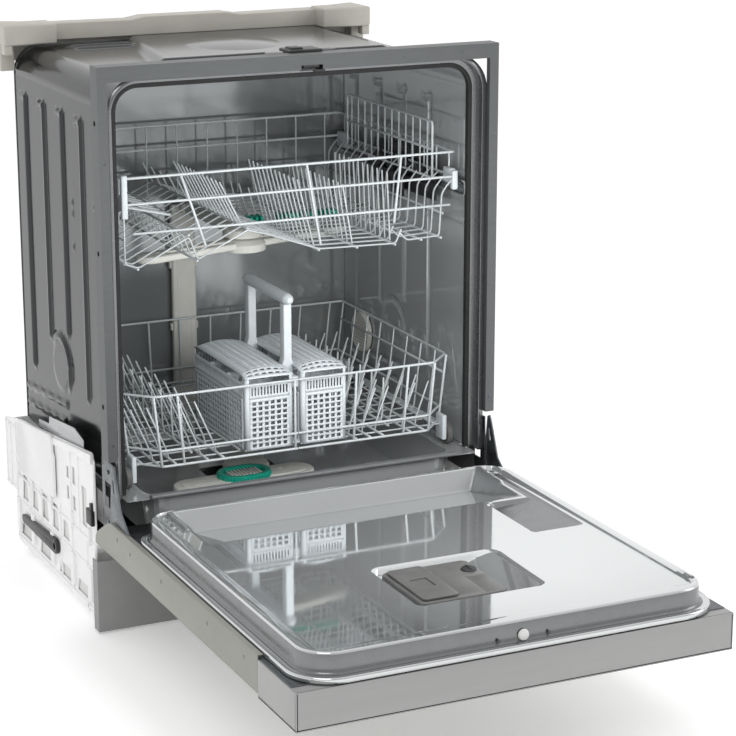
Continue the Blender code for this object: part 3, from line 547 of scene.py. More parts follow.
def build_latch():
    parts = boxes(
        ((-30, 27, 801), (52, 62, 812), 1.5),
        ((-14, 22, 808.6), (36, 60, 821.5), 2.0),
        ((-8, 30, 818), (10, 52, 824), 1.5),
        ((36, 30, 806), (62, 50, 818.5), 1.2),
        ((-8, 0.6, 795.8), (30, 9, 799.5), 1.0),
        ((14, 0.6, 793.4), (30, 9, 799.5), 1.0),
    )
    piece("latch_case", parts, "black_plastic", "machine", ["latch_housing"])
    clips = boxes(
        ((-52, 26, 800), (-32, 44, 814), 2.0),
        ((-44, 28, 808), (-20, 40, 820), 2.0),
        ((66, 26, 800), (84, 44, 816), 2.0),
        ((82, 30, 800), (112, 40, 805), 2.0),
    )
    piece("latch_clips", clips, "panel_grey", "machine")
    hook = [(2.6, 799.2), (8.4, 799.2), (8.4, 805.3), (24.4, 805.3), (24.4, 808.3), (2.6, 808.3)]
    piece("latch_catch", extrude([hook], -2, 22, "X", 0.6), "black_plastic", "latch", ["latch_hook"])


def build_shrouds():
    """Thin plates that close the corners behind the hinges."""
    plates = []
    for side in (-1, 1):
        plates.append(side_box(side, (286.8, 288.2), (36, 166), (124, 214), 0.5, 1))
    piece("corner_shrouds", plates, "dark_plastic", "machine")


build_gasket()
build_shrouds()
build_frame_details()
build_latch()
repaint("frame_steel", "front_frame")
# The back panel gets the darker back steel: painted shade.
repaint("painted_shade_back_steel", "tub_back_panel")
repaint("inner_steel", "tub_floor")
repaint("grey_rubber", "sill_seal")


# ------------------------------------------------------------------ rear top cover
def build_rear_cover():
    """Two thick ends joined by a bar that humps up in the middle, with a wall and feet behind."""
    hump = [(-222, 822), (-90, 821), (-66, 825), (66, 825), (90, 821), (222, 822)]
    outline = [(-297.5, 756), (-297.5, 822), (-292, 826)] + hump + [(292, 826), (297.5, 822), (297.5, 756)]
    outline += [(275, 756), (275, 768), (258, 768), (258, 766)]
    outline += [(-258, 766), (-258, 768), (-275, 768), (-275, 756)]
    parts = [extrude([outline], 468, 485.5, "Y", 2.0)]
    parts.append(extrude([[(-262, 797)] + hump + [(262, 797)]], 453, 470, "Y", 2.0))
    for side in (-1, 1):
        parts.append(side_box(side, (216, 297.5), (421, 796), (472, 825.8), 3.0))
        parts.append(side_box(side, (275, 297), (446, 756), (483, 800), 2.0))
        parts.append(side_box(side, (284, 297), (424, 782), (440, 798), 1.5))
        for k in range(3):
            parts.append(side_box(side, (226 + 22 * k, 240 + 22 * k), (424, 822), (466, 826), 1.2))
    piece("cover_moulding", parts, "cover_beige", "machine", ["rear_top_cover"])


build_rear_cover()


# ------------------------------------------------------------------ base
def build_base():
    """The base tray: two ribbed side walls with windows, a floor, end walls and the rear step."""
    outline = [(88, 30), (100, 14), (471, 14), (471, 95), (520, 95)]
    outline += [(520, 204), (441, 219), (267, 240), (98, 262), (88, 250)]
    plates, painted_shade_walls = [], []
    for word, side in SIDES:
        low, high = span(side, 289.2, 291.0)
        holes = []
        for y, z, w, h in (
            (176, 190, 14, 26), (176, 150, 14, 22), (205, 192, 12, 18), (205, 160, 12, 20),
            (126, 140, 22, 60),
        ):
            holes.append([(y, z), (y + w, z), (y + w, z + h), (y, z + h)])
        for y, head in ((212, 120), (262, 132), (312, 132), (362, 122), (412, 132)):
            holes.append([(y, 92), (y + 30, 92), (y + 26, head), (y + 4, head)])
        for y in (120, 205, 300, 395):
            holes.append([(y, 30), (y + 60, 30), (y + 54, 50), (y + 6, 50)])
        # A wall just inside each side, in the duller white: painted shade behind the windows.
        painted_shade_walls.append(side_box(side, (286.9, 288.5), (106, 20), (464, 214), 0.8, 2))
        plates.append(extrude([outline] + holes, low, high, "X", 0.5, 1))
        ribs = [((92, 20), (470, 26)), ((92, 84), (470, 87.5)), ((92, 124), (470, 127.5))]
        ribs += [((472, 98), (519, 102)), ((472, 196), (519, 200))]
        for y, z0, z1 in (
            (91, 14, 248), (128, 14, 120), (196, 26, 240), (250, 26, 140), (342, 84, 140),
            (400, 84, 140), (467, 26, 208), (517, 96, 203), (494, 98, 200), (160, 127, 250),
        ):
            ribs.append(((y - 1.6, z0), (y + 1.6, z1)))
        for low_end, high_end in ribs:
            plates.append(side_box(side, (290, 292.6), low_end, high_end, 0.6, 2))
        rail = [(90, 247, 262), (180, 240, 251), (262, 229, 240)]
        for (y0, b0, t0), (y1, b1, t1) in zip(rail, rail[1:]):
            plates.append(
                extrude([[(y0, b0), (y1, b1), (y1, t1), (y0, t0)]], *span(side, 290, 296), "X", 0.8)
            )
        for y in (112, 192, 288, 384, 456):
            plates.append(side_box(side, (290, 295.4), (y - 7, 34), (y + 7, 84), 1.6))
            plates.append(side_box(side, (290, 295.4), (y - 3, 120), (y + 3, 146), 1.2))
    plates += boxes(
        ((-290, 100, 14), (290, 471, 17.5), 1.0),
        ((-290, 100, 14), (290, 103.5, 132), 1.0),
        ((-290, 467.5, 14), (290, 471, 112), 1.0),
        ((-290, 467.5, 108), (290, 520, 112), 1.0),
    )
    wall = [(-290, 109), (290, 109), (290, 200), (-290, 200)]
    ports = [ring_of(210, 160, 13, 28), ring_of(150, 150, 15, 28)]
    plates.append(extrude([wall, *ports], 517, 520, "Y", 0.6, 1))
    for x in (-240, -180, -120, -60, 0, 60, 250):
        plates.append(rounded_box((x - 1.6, 514, 111), (x + 1.6, 519, 198), 0.6, 2))
    piece("base_moulding", plates, "white_plastic", "machine", ["base_tray"])
    piece("base_painted_shade_wall", painted_shade_walls, "painted_shade_white", "machine")


def build_base_trim():
    """The water tank's panel, the bumpers at the front corners and the bracket on the left."""
    tank = [(262, 146), (300, 143), (440, 140), (441, 217), (436, 222)]
    tank += [(272, 241), (268, 237), (268, 216), (262, 210)]
    body = extrude([tank], -297.7, -292.4, "X", 1.8, 3)
    piece("tank_panel", body, "tank_white", "machine", ["water_tank"])
    bumper = boxes(
        ((-297.5, 89, 155), (-291, 112, 178), 1.5),
        ((-296, 92, 176), (-291, 100, 188), 1.0),
        ((291, 89, 155), (297.5, 112, 178), 1.5),
    )
    piece("base_bumpers", bumper, "black_plastic", "machine")
    plate = [(139, 256), (350, 230), (351, 244), (300, 250), (298, 262), (180, 276), (139, 268)]
    plate = extrude([plate], -288.6, -286.8, "X", 0.5)
    piece("base_bracket", plate, "brushed_steel", "machine")


def build_levers():
    """The tension levers on the base's sides, each with a collar round its pivot."""
    for word, side in SIDES:
        ring = [(5.4, 3.0), (9.5, 3.0), (10.5, 1.5), (10.5, -1.5), (9.5, -3.0), (5.4, -3.0), (5.4, 3.0)]
        ring = clip_x(lathe(ring, (side * 294.9, 268, 69), (side, 0, 0), 32), 0.2976)
        outline = link((268, 69), 12, (425, 64), 6.5)
        eye = ring_of(268, 69, 5.6, 24)
        arm = extrude([outline, eye], *span(side, 292.6, 296.6), "X", 0.8)
        piece(f"lever_{word}", [arm, ring], "black_plastic", f"lever_{word}", [f"tension_lever_{word}"])


def link(start, r0, end, r1, steps=10):
    """The outline round two circles and the straight lines that join them."""
    (x0, y0), (x1, y1) = start, end
    heading = math.atan2(y1 - y0, x1 - x0)
    lean = math.asin((r0 - r1) / math.hypot(x1 - x0, y1 - y0))
    points = []
    for cx, cy, r, first, sweep in (
        (x1, y1, r1, heading - math.pi / 2 + lean, math.pi - 2 * lean),
        (x0, y0, r0, heading + math.pi / 2 - lean, math.pi + 2 * lean),
    ):
        for i in range(steps + 1):
            a = first + sweep * i / steps
            points.append((cx + r * math.cos(a), cy + r * math.sin(a)))
    return points


build_base()
build_base_trim()
build_levers()
repaint("kick_grey", "kick_plate")
repaint("cast_iron", "counterweight")
repaint(
    "black_plastic", "foot_front_left", "foot_front_right", "foot_rear_left", "foot_rear_right", "wash_pump"
)
repaint("dark_plastic", "sump", "drain_pump")
repaint("spring", "door_spring_left", "door_spring_right")


# ------------------------------------------------------------------ door
LINER_SIDE, LINER_NEAR, LINER_FAR, LINER_R = 274.0, -621.0, -62.0, 40.0
TROUGH_TOP, TROUGH_FOOT, TROUGH_END, TROUGH_DEEP = -68.0, -84.0, -204.0, 188.5


def pocket_distance(x, y):
    """How far a point lies outside the tray pressed beside the ramp, negative inside it."""
    wide = box_distance(x, y, 174, 256, -346, -210, 12)
    narrow = box_distance(x, y, 238, 256, -250, -92, 8)
    return min(wide, narrow)


def liner_height(x, y):
    """Height of the inner door: rim, wheel tracks, trough at the hinge end, tray and recesses."""
    across = abs(x)
    side = 1 - smoothstep(257.5, 261.5, across)
    near = smoothstep(-604, -600, y)
    z = 217.8 - 4.0 * side * near
    z += 4.0 * smoothstep(-146, -138, y) * (1 - smoothstep(241, 244, across))
    if y > TROUGH_END:
        if y > TROUGH_FOOT:
            trough = TROUGH_DEEP + (217.8 - TROUGH_DEEP) * (y - TROUGH_FOOT) / (TROUGH_TOP - TROUGH_FOOT)
        else:
            trough = TROUGH_DEEP + (213.8 - TROUGH_DEEP) * (TROUGH_FOOT - y) / (TROUGH_FOOT - TROUGH_END)
        flank = TROUGH_DEEP + (217.8 - TROUGH_DEEP) * (across - 217) / 17
        z = min(z, max(trough, flank))
    fall = 13.0 - 8.0 * max(0.0, min(1.0, (x - 174) / 80))
    z = min(z, 217.8 - fall * (1 - smoothstep(-6, 0, pocket_distance(x, y))))
    slope = box_distance(x, y, -84, 98, -522, -378, 14)
    drop = 8.0 * (1 - max(0.0, min(1.0, (x - 45) / 50))) + 1.2
    z -= drop * (1 - smoothstep(-4, 0, slope))
    slot = box_distance(x, y, 262.5, 268.5, -590, -560, 3)
    z -= 5.0 * (1 - smoothstep(-1.5, 0.5, slot))
    groove = abs(across - 263.5)
    z -= 0.8 * (
        1 - smoothstep(0.5, 2.0, groove)
    ) * smoothstep(-560, -550, y) * (1 - smoothstep(-100, -90, y))
    return z


def liner_half(y):
    """Half the pan's width at a station, rounded at its corners."""
    r = LINER_R
    inset = max(0.0, (LINER_NEAR + r) - y, y - (LINER_FAR - r))
    return LINER_SIDE - r + math.sqrt(max(0.0, r * r - inset * inset))


def build_liner():
    stations = [LINER_NEAR + LINER_R * (1 - math.cos(math.pi / 2 * i / 14)) for i in range(15)]
    y = stations[-1]
    while y < LINER_FAR - LINER_R - 3:
        y += 3
        stations.append(y)
    stations += [LINER_FAR - LINER_R * math.cos(math.pi / 2 * i / 14) for i in range(15)]
    stations += [TROUGH_FOOT + 2.0 * i for i in range(-2, 10)]
    stations = sorted(set(round(s, 3) for s in stations))
    columns, shrink = 186, 3.0
    centre, reach = (LINER_NEAR + LINER_FAR) / 2, (LINER_FAR - LINER_NEAR) / 2
    verts, faces = [], []
    for y in stations:
        half = liner_half(y)
        for j in range(columns + 1):
            x = half * (2 * j / columns - 1)
            xi = x * (half - shrink) / half
            yi = centre + (y - centre) * (reach - shrink) / reach
            verts.append(P(xi, yi, liner_height(xi, yi)))
    n = columns + 1
    for i in range(len(stations) - 1):
        y = (stations[i] + stations[i + 1]) / 2
        for j in range(columns):
            x = (verts[i * n + j].x + verts[i * n + j + 1].x) * 500
            if -73 < x < 42 and -512 < y < -398:
                continue
            faces.append((i * n + j, i * n + j + 1, (i + 1) * n + j + 1, (i + 1) * n + j))
    last = (len(stations) - 1) * n
    loop = list(range(n))
    loop += [i * n + columns for i in range(1, len(stations))]
    loop += [last + j for j in range(columns - 1, -1, -1)]
    loop += [i * n for i in range(len(stations) - 2, 0, -1)]

    def outward(index):
        v = verts[index]
        x, y = v.x * 1000, (v.y - FRONT) * 1000
        cx = max(-LINER_SIDE + LINER_R, min(LINER_SIDE - LINER_R, x))
        cy = max(LINER_NEAR + LINER_R, min(LINER_FAR - LINER_R, y))
        d = Vector((x - cx, y - cy))
        return d.normalized() if d.length > 1e-6 else Vector((0, 1))

    directions = [outward(i) for i in loop]
    previous = loop
    profile = [(1.6, 217.5), (2.7, 216.6), (3.2, 215.0), (4.2, 200.0), (4.8, 194.5), (6.2, 192.0)]
    profile += [(9.0, 190.8), (14.6, 190.6), (16.2, 191.6), (17.2, 191.2), (17.8, 189.4), (17.9, 184.6)]
    wall_start = flange_start = 0
    for out, z in profile:
        if z == 200.0:
            wall_start = len(faces)
        elif z == 190.6:
            flange_start = len(faces)
        ring = []
        for index, d in zip(loop, directions):
            v = verts[index]
            reach = min(out, 4.8 + 13.1 * (1 - smoothstep(0.3, 0.9, d.y))) * 0.001
            verts.append(Vector((v.x + d.x * reach, v.y + d.y * reach, z * 0.001)))
            ring.append(len(verts) - 1)
        for k in range(len(loop)):
            m = (k + 1) % len(loop)
            faces.append((previous[k], ring[k], ring[m], previous[m]))
        previous = ring
    mesh = raw_mesh("liner_pan", verts, faces)
    liner = piece("liner_pan", mesh, "mirror_steel", "door", ["door_liner"], angle=50)
    for name in ("painted_shade_lip_steel", "painted_shade_ramp_steel"):
        mesh.materials.append(MAT[name])
    # The liner's outer walls get the dark lip steel: painted shade on the wall below the rim.
    for face in mesh.polygons[wall_start:flange_start]:
        face.material_index = 1
    for face in mesh.polygons[:wall_start]:
        x, y = face.center.x * 1000, (face.center.y - FRONT) * 1000
        # The trough and its flanks get the ramp steel: painted shade in the trough.
        if abs(x) < 236 and TROUGH_FOOT - 1 < y < TROUGH_TOP + 1:
            face.material_index = 2
        elif 210 < abs(x) < 236 and TROUGH_END < y < TROUGH_TOP:
            face.material_index = 2
        # The tray's floor gets the dark lip steel: painted shade in the recess.
        elif pocket_distance(x, y) < -1.5:
            face.material_index = 1
    thicken(liner, 0.8, even=False)
    holes = []
    for x in (-29, 40):
        holes.append(lathe([(0, 0.25), (1.8, 0.25), (2.3, 0), (0, 0)], (x, -625.6, 197), (0, -1, 0), 20))
    piece("liner_plugs", holes, "dark_plastic", "door")


def build_dispenser():
    """The housing with its raised cap side, cup, sliding lid and rinse aid cap."""
    outline = [(-70, -515), (39, -515), (45, -509), (45, -401)]
    outline += [(39, -395), (-70, -395), (-76, -401), (-76, -509)]
    cup = [(-65, -504), (-27, -504), (-27, -406), (-65, -406)]
    parts = [extrude([outline, cup], 189, 213, "Z", 1.6, 3)]
    parts += boxes(
        ((-68, -507, 190), (-24, -403, 193), 0.8),
        ((-14, -478, 211.0), (14, -402, 213.2), 0.8),
        ((16, -511, 211.0), (44, -452, 213.2), 0.8),
    )
    piece("dispenser_body", parts, "dark_plastic", "door", ["detergent_dispenser"])
    rim = [(-71, -506), (-67, -510), (-25, -510), (-21, -506)]
    rim += [(-21, -404), (-25, -400), (-67, -400), (-71, -404)]
    grip = [(-58, -470), (-34, -470), (-34, -440), (-58, -440)]
    lid = [extrude([rim, grip], 213.35, 216.7, "Z", 0.9, 3)]
    lid.append(rounded_box((-60, -472, 213.35), (-32, -438, 214.4), 0.3, 1))
    for k in range(5):
        lid.append(rounded_box((-52 + k * 2.6, -432, 216.2), (-50.8 + k * 2.6, -412, 216.78), 0.2, 1))
    piece("dispenser_lid", lid, "dark_plastic", "detergent_flap", ["detergent_lid"])
    cap = [(0, 2.4), (8.0, 2.4), (9.2, 2.0), (10.2, 0.9), (10.4, 0), (0, 0)]
    cap = [lathe(cap, (32.5, -430, 213.35), steps=32)]
    cap.append(rounded_box((31.4, -438.5, 215.4), (33.6, -421.5, 216.7), 0.4, 2))
    piece("rinse_cap_knob", cap, "black_plastic", "rinse_cap", ["rinse_aid_cap"])


def build_door_body():
    """The outer skin with its two flanks, the rivets along them, and the lining inside."""
    skin = [rounded_box((-DOOR_HALF, -522.7, 139), (DOOR_HALF, 69.5, 140.2), 0.4, 1)]
    outline = [(-522.7, 139), (70, 139), (70, 149), (62, 158), (20, 182), (4, 188), (-522.7, 188)]
    for _, side in SIDES:
        skin.append(extrude([outline], *span(side, 296.4, DOOR_HALF), "X", 0.5))
        low, high = span(side, 290.5, 297.0)
        skin.append(extrude([[(-522, 186.6), (2, 186.6), (2, 188), (-522, 188)]], low, high, "X", 0.3, 1))
    piece("door_skin", skin, "door_paint", "door", ["outer_door_panel"])
    dots = []
    for side in (-1, 1):
        for y, z in ((-24, 172), (-76, 168), (-196, 170), (-360, 170), (-480, 170)):
            head = [(0, 0.5), (2.2, 0.5), (3.0, 0), (0, 0)]
            dots.append(clip_x(lathe(head, (side * DOOR_HALF, y, z), (side, 0, 0), 18), 0.2984))
    piece("door_rivets", dots, "hinge_steel", "door")
    inner = [rounded_box((-296, -618, 182.0), (296, -8, 184.0), 0.5, 1)]
    piece("door_lining", inner, "hinge_steel", "door")


def build_control_panel():
    """The face with its keys, grip and display window, and the striker at the door's end."""
    face = [(-DOOR_HALF, DOOR_END), (DOOR_HALF, DOOR_END), (DOOR_HALF, -523), (-DOOR_HALF, -523)]
    keyholes = [ring_of(x, KEY_Y, 10.4, 32) for x in (-KEY_X, KEY_X)]
    grip = [(-108, -614), (108, -614), (108, -576), (-108, -576)]
    panel = [extrude([face, *keyholes, grip], 133.5, 136.6, "Z", 0.6, 2)]
    panel += boxes(
        ((-DOOR_HALF, DOOR_END, 133.5), (DOOR_HALF, -632, 182.5), 1.6),
        ((-DOOR_HALF, DOOR_END, 180.5), (DOOR_HALF, -523, 182.5), 0.8),
        ((-DOOR_HALF, DOOR_END, 134), (-294.5, -523, 182), 0.8),
        ((294.5, DOOR_END, 134), (DOOR_HALF, -523, 182), 0.8),
        ((-112, -574, 136), (112, -571, 170), 0.8),
        ((-112, -619, 168), (112, -571, 170.5), 0.8),
    )
    piece("control_fascia", panel, "panel_grey", "door", ["control_panel"])
    display = [rounded_box((128, -603, 132.6), (206, -567, 134), 0.6)]
    for k in range(5):
        display.append(rounded_box((-226 + 20 * k, -590, 132.9), (-212 + 20 * k, -580, 134), 0.5))
    piece("display_window", display, "black_plastic", "door")
    for name, x in (("power", -KEY_X), ("start", KEY_X)):
        cap = [(0, 141), (8, 141), (8, 139), (12.4, 139), (12.4, 137)]
        cap += [(10, 137), (10, 133), (9.2, 132.1), (6.5, 132.4), (0, 132.8)]
        cap = lathe(cap, (x, KEY_Y, 0), steps=36)
        piece(f"{name}_key_cap", cap, "dark_plastic", f"{name}_key", [f"{name}_button"])
    knob = [(0, 3.4), (4.2, 3.4), (6.4, 2.6), (7.2, 1.2), (7.4, 0), (0, 0)]
    knob = lathe(knob, (5, -623.6, 199), (0, -1, 0), 32)
    piece("striker_knob", knob, "clear", "door", ["door_striker"])


def build_hinges():
    """On each side the curved arm that rides on the door, and the plate that holds its pin."""
    for word, side in SIDES:
        arm = [(-70, 152), (4, 151), (20, 168), (9, 240), (5, 268)]
        arm += [(-1, 270.5), (-6, 262), (-27, 212), (-68, 182)]
        eye = ring_of(HINGE_Y, HINGE_Z, 4.6, 24)
        slot = [(-6, 232), (-1, 232), (2, 250), (-2, 250)]
        blade = extrude([arm, eye, slot], *span(side, 291.0, 293.6), "X", 0.5)
        boss = [(5, 1.0), (9, 1.0), (10, 0), (5, 0), (5, 1.0)]
        boss = lathe(boss, (side * 293.5, HINGE_Y, HINGE_Z), (side, 0, 0), 28)
        piece(f"hinge_blade_{word}", [blade, boss], "hinge_steel", "door", [f"hinge_arm_{word}"])
        outline = [(-19, 174), (-19, 186), (-12, 189.6), (3, 196), (6, 267)]
        outline += [(60, 267), (60, 163), (10, 163), (-10, 171)]
        window = [(18, 200), (48, 200), (48, 236), (18, 236)]
        pin = [(0, 7.2), (3.2, 7.2), (3.9, 6.5), (3.9, 0), (0, 0)]
        rivet = [(0, 2.2), (2.2, 2.2), (3.4, 1.2), (3.4, 0), (0, 0)]
        foot = [extrude([outline, window], *span(side, 286.9, 288.7), "X", 0.4)]
        foot.append(lathe(pin, (side * 287.5, HINGE_Y, HINGE_Z), (side, 0, 0), 24))
        for z in (252, 178):
            foot.append(lathe(rivet, (side * 288.6, 34, z), (side, 0, 0), 18))
        piece(f"hinge_plate_{word}", foot, "hinge_steel", "machine", [f"hinge_bracket_{word}"])


build_liner()
build_dispenser()
build_door_body()
build_control_panel()
build_hinges()


# ------------------------------------------------------------------ upper rack
SHELF_ANGLE = {"left": -14, "right": 90}


def steps_between(low, high, count):
    return [low + (high - low) * i / (count - 1) for i in range(count)]


def build_upper_rack():
    """Rim and side wires, a floor folded into valleys for glasses, tine rows, shelves and rails."""
    thick, thin = [], []
    for z in (659, 623):
        a, f, b = 252.0, 43.0, 438.0
        thick.append([(0, f, z), (a, f, z), (a, b, z), (-a, b, z), (-a, f, z), (0.5, f, z)])
    thick.append([(-240, 43, 582), (246, 43, 582)])
    thick.append([(-240, 438, 582), (246, 438, 582)])
    for x0, x1, z1 in ((-168, -134, 556), (20, 40, 541), (167, 155, 563)):
        thick.append([(x0, 44, 658), (x1, 42, z1)])
    left = [(-252, 606), (-252, 541), (-233, 534), (-158, 571), (-146, 538), (-71, 573)]
    middle = [(-71, 573), (-40, 564), (38, 536), (158, 533), (167, 553)]
    right = [(164, 548), (176, 536), (228, 538), (232, 600), (242, 613), (252, 621)]
    for y in steps_between(43, 436, 16):
        for profile in (left, middle, right):
            thin.append([(x, y, z) for x, z in profile])
    for x, z in ((-252, 574), (-252, 541), (-233, 532), (-158, 573), (-146, 536), (-71, 575), (-16, 554)):
        thick.append([(x, 43, z), (x, 438, z)])
    for x, z in ((38, 534), (98, 532), (158, 531), (232, 534), (234, 570), (200, 534)):
        thick.append([(x, 43, z), (x, 438, z)])
    for x, tip, foot, top in (
        (-71, -104, 574, 640), (38, 14, 536, 634), (98, 84, 534, 622), (158, 154, 533, 634)
    ):
        for y in steps_between(62, 241.3, 12):
            thin.append([(x, y, foot), (tip, y + 2, top)])
        for y in steps_between(274, 420, 5):
            thin.append([(x, y, foot), ((x + tip) / 2, y + 1, (foot + top) / 2)])
    for side in (-1, 1):
        for y in steps_between(60, 420, 10):
            thin.append([(side * 252, y, 660), (side * 252, y, 606 if side < 0 else 621)])
    for x in steps_between(-225, 225, 10):
        thin.append([(x, 438, 659), (x, 438, 545)])
    mesh = [wires(thick, THICK_WIRE), wires(thin, 1.35, 6, 5)]
    piece("upper_wires", mesh, "wire", "upper_basket", ["upper_rack"], angle=60)
    clips = []
    for side in (-1, 1):
        clips.append(side_box(side, (247, 255.8), (38, 604), (47, 664 if side < 0 else 632), 2.0))
        clips.append(side_box(side, (247, 255.8), (45, 612), (70, 634), 2.0))
        clips.append(side_box(side, (247, 255.8), (410, 606), (440, 630), 2.0))
    piece("upper_clips", clips, "basket", "upper_basket")
    for word, side in SIDES:
        build_adjuster(word, side)
        build_rail(word, side)
        build_cup_shelf(word, side)


def build_adjuster(word, side):
    """The height adjuster: a punched plate with four rollers, a shelf and a lever below it."""
    low, high = span(side, 256.6, 259.1)
    rim = [(112, 574), (328, 574), (328, 600), (318, 640), (122, 640), (112, 600)]
    holes = [ring_of(140, 590, 7), ring_of(300, 590, 7), ring_of(220, 618, 9)]
    parts = [extrude([rim, *holes], low, high, "X", 0.5)]
    for y in (150, 195, 240, 285):
        wheel = [(3, 5), (11, 5), (13, 3.5), (13, -3.5), (11, -5), (3, -5), (3, 5)]
        for profile, steps in ((wheel, 28), ([(0, 6), (3.4, 6), (3.4, -6), (0, -6)], 16)):
            parts.append(lathe(profile, (side * 248.5, y, 612), (side, 0, 0), steps))
    parts.append(side_box(side, (243, 253), (118, 596), (322, 601), 1.5))
    parts.append(side_box(side, (243, 253), (206, 560), (236, 598), 2.0))
    nodes = [f"height_adjuster_{word}"]
    piece(f"adjuster_{word}", parts, "black_plastic", "upper_basket", nodes)


def build_rail(word, side):
    """The telescopic rail: two rolled lips, a web and a row of ball cages."""
    a, b = span(side, 259.9, 263.9)
    rail = [rounded_box((a, 30.5, z), (b, 454.5, z + 2.2), 0.5, 2) for z in (596.2, 615.6)]
    a, b = span(side, 262.4, 263.9)
    rail.append(rounded_box((a, 30.5, 597), (b, 454.5, 617), 0.4, 2))
    for y in steps_between(50, 430, 11):
        ball = [(0, 2.4), (2.0, 1.6), (2.6, 0), (0, 0)]
        rail.append(lathe(ball, (side * 261.6, y, 607), (-side, 0, 0), 14))
    piece(f"rail_slide_{word}", rail, "brushed_steel", f"rail_{word}", [f"rack_rail_{word}"])


def build_cup_shelf(word, side):
    """The wire shelf for cups: the left one is down, the right one is folded up against the side."""
    angle = math.radians(SHELF_ANGLE[word])
    reach = 83.0

    def shelf(distance, y):
        return (side * (244 - distance * math.cos(angle)), y, 612 + distance * math.sin(angle))

    frame_bars = [[shelf(0, 98), shelf(reach, 98), shelf(reach, 392), shelf(0, 392), shelf(0, 99)]]
    frame_bars.append([shelf(42, 98), shelf(42, 392)])
    bars = [[shelf(1, y), shelf(reach, y)] for y in steps_between(114, 376, 12)]
    mesh = [wires(frame_bars, THICK_WIRE), wires(bars, 1.3, 6)]
    piece(f"shelf_wires_{word}", mesh, "wire", f"shelf_{word}", [f"cup_shelf_{word}"], angle=60)


def build_upper_arm():
    """The arm with its ridge, hub and jets, its feed pipe, and the teal strip above it."""
    ca, sa = math.cos(math.radians(14)), math.sin(math.radians(14))
    ends = [(-ca * 168, ARM_Y - sa * 168), (ca * 172, ARM_Y + sa * 172)]
    near, far = [(x * 0.8, ARM_Y + (y - ARM_Y) * 0.8) for x, y in ends]
    hub = [(0, 520), (24, 520), (29, 517), (34, 512), (34, 501.5), (30, 500), (0, 500)]
    parts = [
        extrude([link(ends[0], 20, ends[1], 19.99)], 505.2, 515.8, "Z", 3.5, 4),
        extrude([link(near, 8, far, 7.99)], 514, 518.4, "Z", 1.6, 3),
        lathe(hub, (0, ARM_Y, 0), steps=48),
    ]
    for d in (-150, -120, -90, -60, 58, 88, 118, 150):
        x, y = ca * d - sa * 6, ARM_Y + sa * d + ca * 6
        parts.append(lathe([(1.4, 1.2), (3.4, 1.0), (4.4, 0), (1.4, 0)], (x, y, 515.6), steps=16))
    piece("upper_arm_blade", parts, "arm", "upper_arm", ["upper_spray_arm"])
    pipe = [
        rounded_box((-18.8, 218, 521.8), (18.8, 444.5, 533.8), 5.0, 5),
        lathe([(0, 536), (20, 536), (27, 533), (30, 528), (30, 522), (0, 522)], (0, ARM_Y, 0)),
        rounded_box((-22, 428, 520.8), (22, 444.5, 535), 3.0, 3),
    ]
    piece("feed_pipe_tube", pipe, "arm", "upper_basket", ["upper_feed_pipe"])
    teeth = []
    for x0, x1 in ((6, 34), (54, 152)):
        teeth.append(rounded_box((x0, 226, 538), (x1, 246, 543), 1.6))
        for k in range(int((x1 - x0) / 8)):
            x = x0 + 3 + 8 * k
            teeth.append(rounded_box((x, 224, 539), (x + 4, 248, 550), 1.2))
    piece("upper_teal_strip", teeth, "teal", "upper_basket")


# ------------------------------------------------------------------ lower rack
def lower_ring(z, corner=40.0):
    """The lower rack's outline at a height: it narrows downwards and its front corners are cut across."""
    shrink = RACK_NARROWING * (RACK_RIM - z) / RACK_DEPTH
    a, f, b = 256.0 - shrink, 34.5, 440.0
    k = a * 218 / 257
    return [
        (0, f, z), (k, f, z), (a, f + corner, z), (a, b, z), (-a, b, z), (-a, f + corner, z), (-k, f, z),
        (-0.5, f, z),
    ]


def lower_x(x, z):
    return x * (1 - RACK_NARROWING * (RACK_RIM - z) / RACK_DEPTH / 257)


def build_lower_rack():
    """Wire basket with leaning plate tines, the folding rows, and the wheels in their brackets."""
    thick, thin = [], []
    for z in (350.5, 271, 248):
        thick.append(lower_ring(z))
    for x, y in (
        (-184, 34.5), (-219, 34.5), (92, 34.5), (176, 34.5), (219, 34.5), (-5, 34.5), (-256, 71), (256, 71)
    ):
        thick.append([(x, y, 350), (lower_x(x, 248), y, 247)])
    for side in (-1, 1):
        for y in steps_between(106, 436, 8):
            thin.append([(side * 256, y, 350), (side * 243.5, y, 249), (side * 238, y, 246)])
        thick.append([(side * 253, 72, 322), (side * 253, 438, 322)])
    for x in steps_between(-234, 234, 10):
        thin.append([(x, 440, 350), (lower_x(x, 248), 440, 249), (lower_x(x, 248), 434, 246)])
    for y in steps_between(62, 420, 12):
        thin.append([(-243, y, 247), (243, y, 247)])
    for columns, lean, top in (((93, 115, 136, 180, 202), 22, 314), ((-115, -139, -187, -211), -32, 328)):
        for x in columns:
            thick.append([(x, 36, 249), (x, 438, 249)])
            for y in steps_between(66, 390, 9):
                thin.append([(x, y, 249), (x + lean * 0.1, y, 262), (x + lean, y, top)])
    for x in (-230, -80, 80, 230):
        thick.append([(x, 60, 249), (x, 438, 249)])
    for side in (-1, 1):
        thick.append([(side * 92, 262, 256), (side * 92, 430, 256)])
    mesh = [wires(thick, THICK_WIRE), wires(thin, 1.4, 6, 5)]
    piece("lower_wires", mesh, "wire", "lower_basket", ["lower_rack"], angle=60)
    brackets = []
    for side in (-1, 1):
        for y in (62, 405):
            brackets.append(side_box(side, (240.5, 247.6), (y - 12, 224), (y + 12, 262), 2.0))
        brackets.append(side_box(side, (241, 247), (76, 240), (392, 247), 1.5))
    piece("wheel_brackets", brackets, "basket", "lower_basket")
    for word, side in SIDES:
        build_folding_tines(word, side)
        for end, y in (("front", 62), ("rear", 405)):
            build_roller(word, side, end, y)


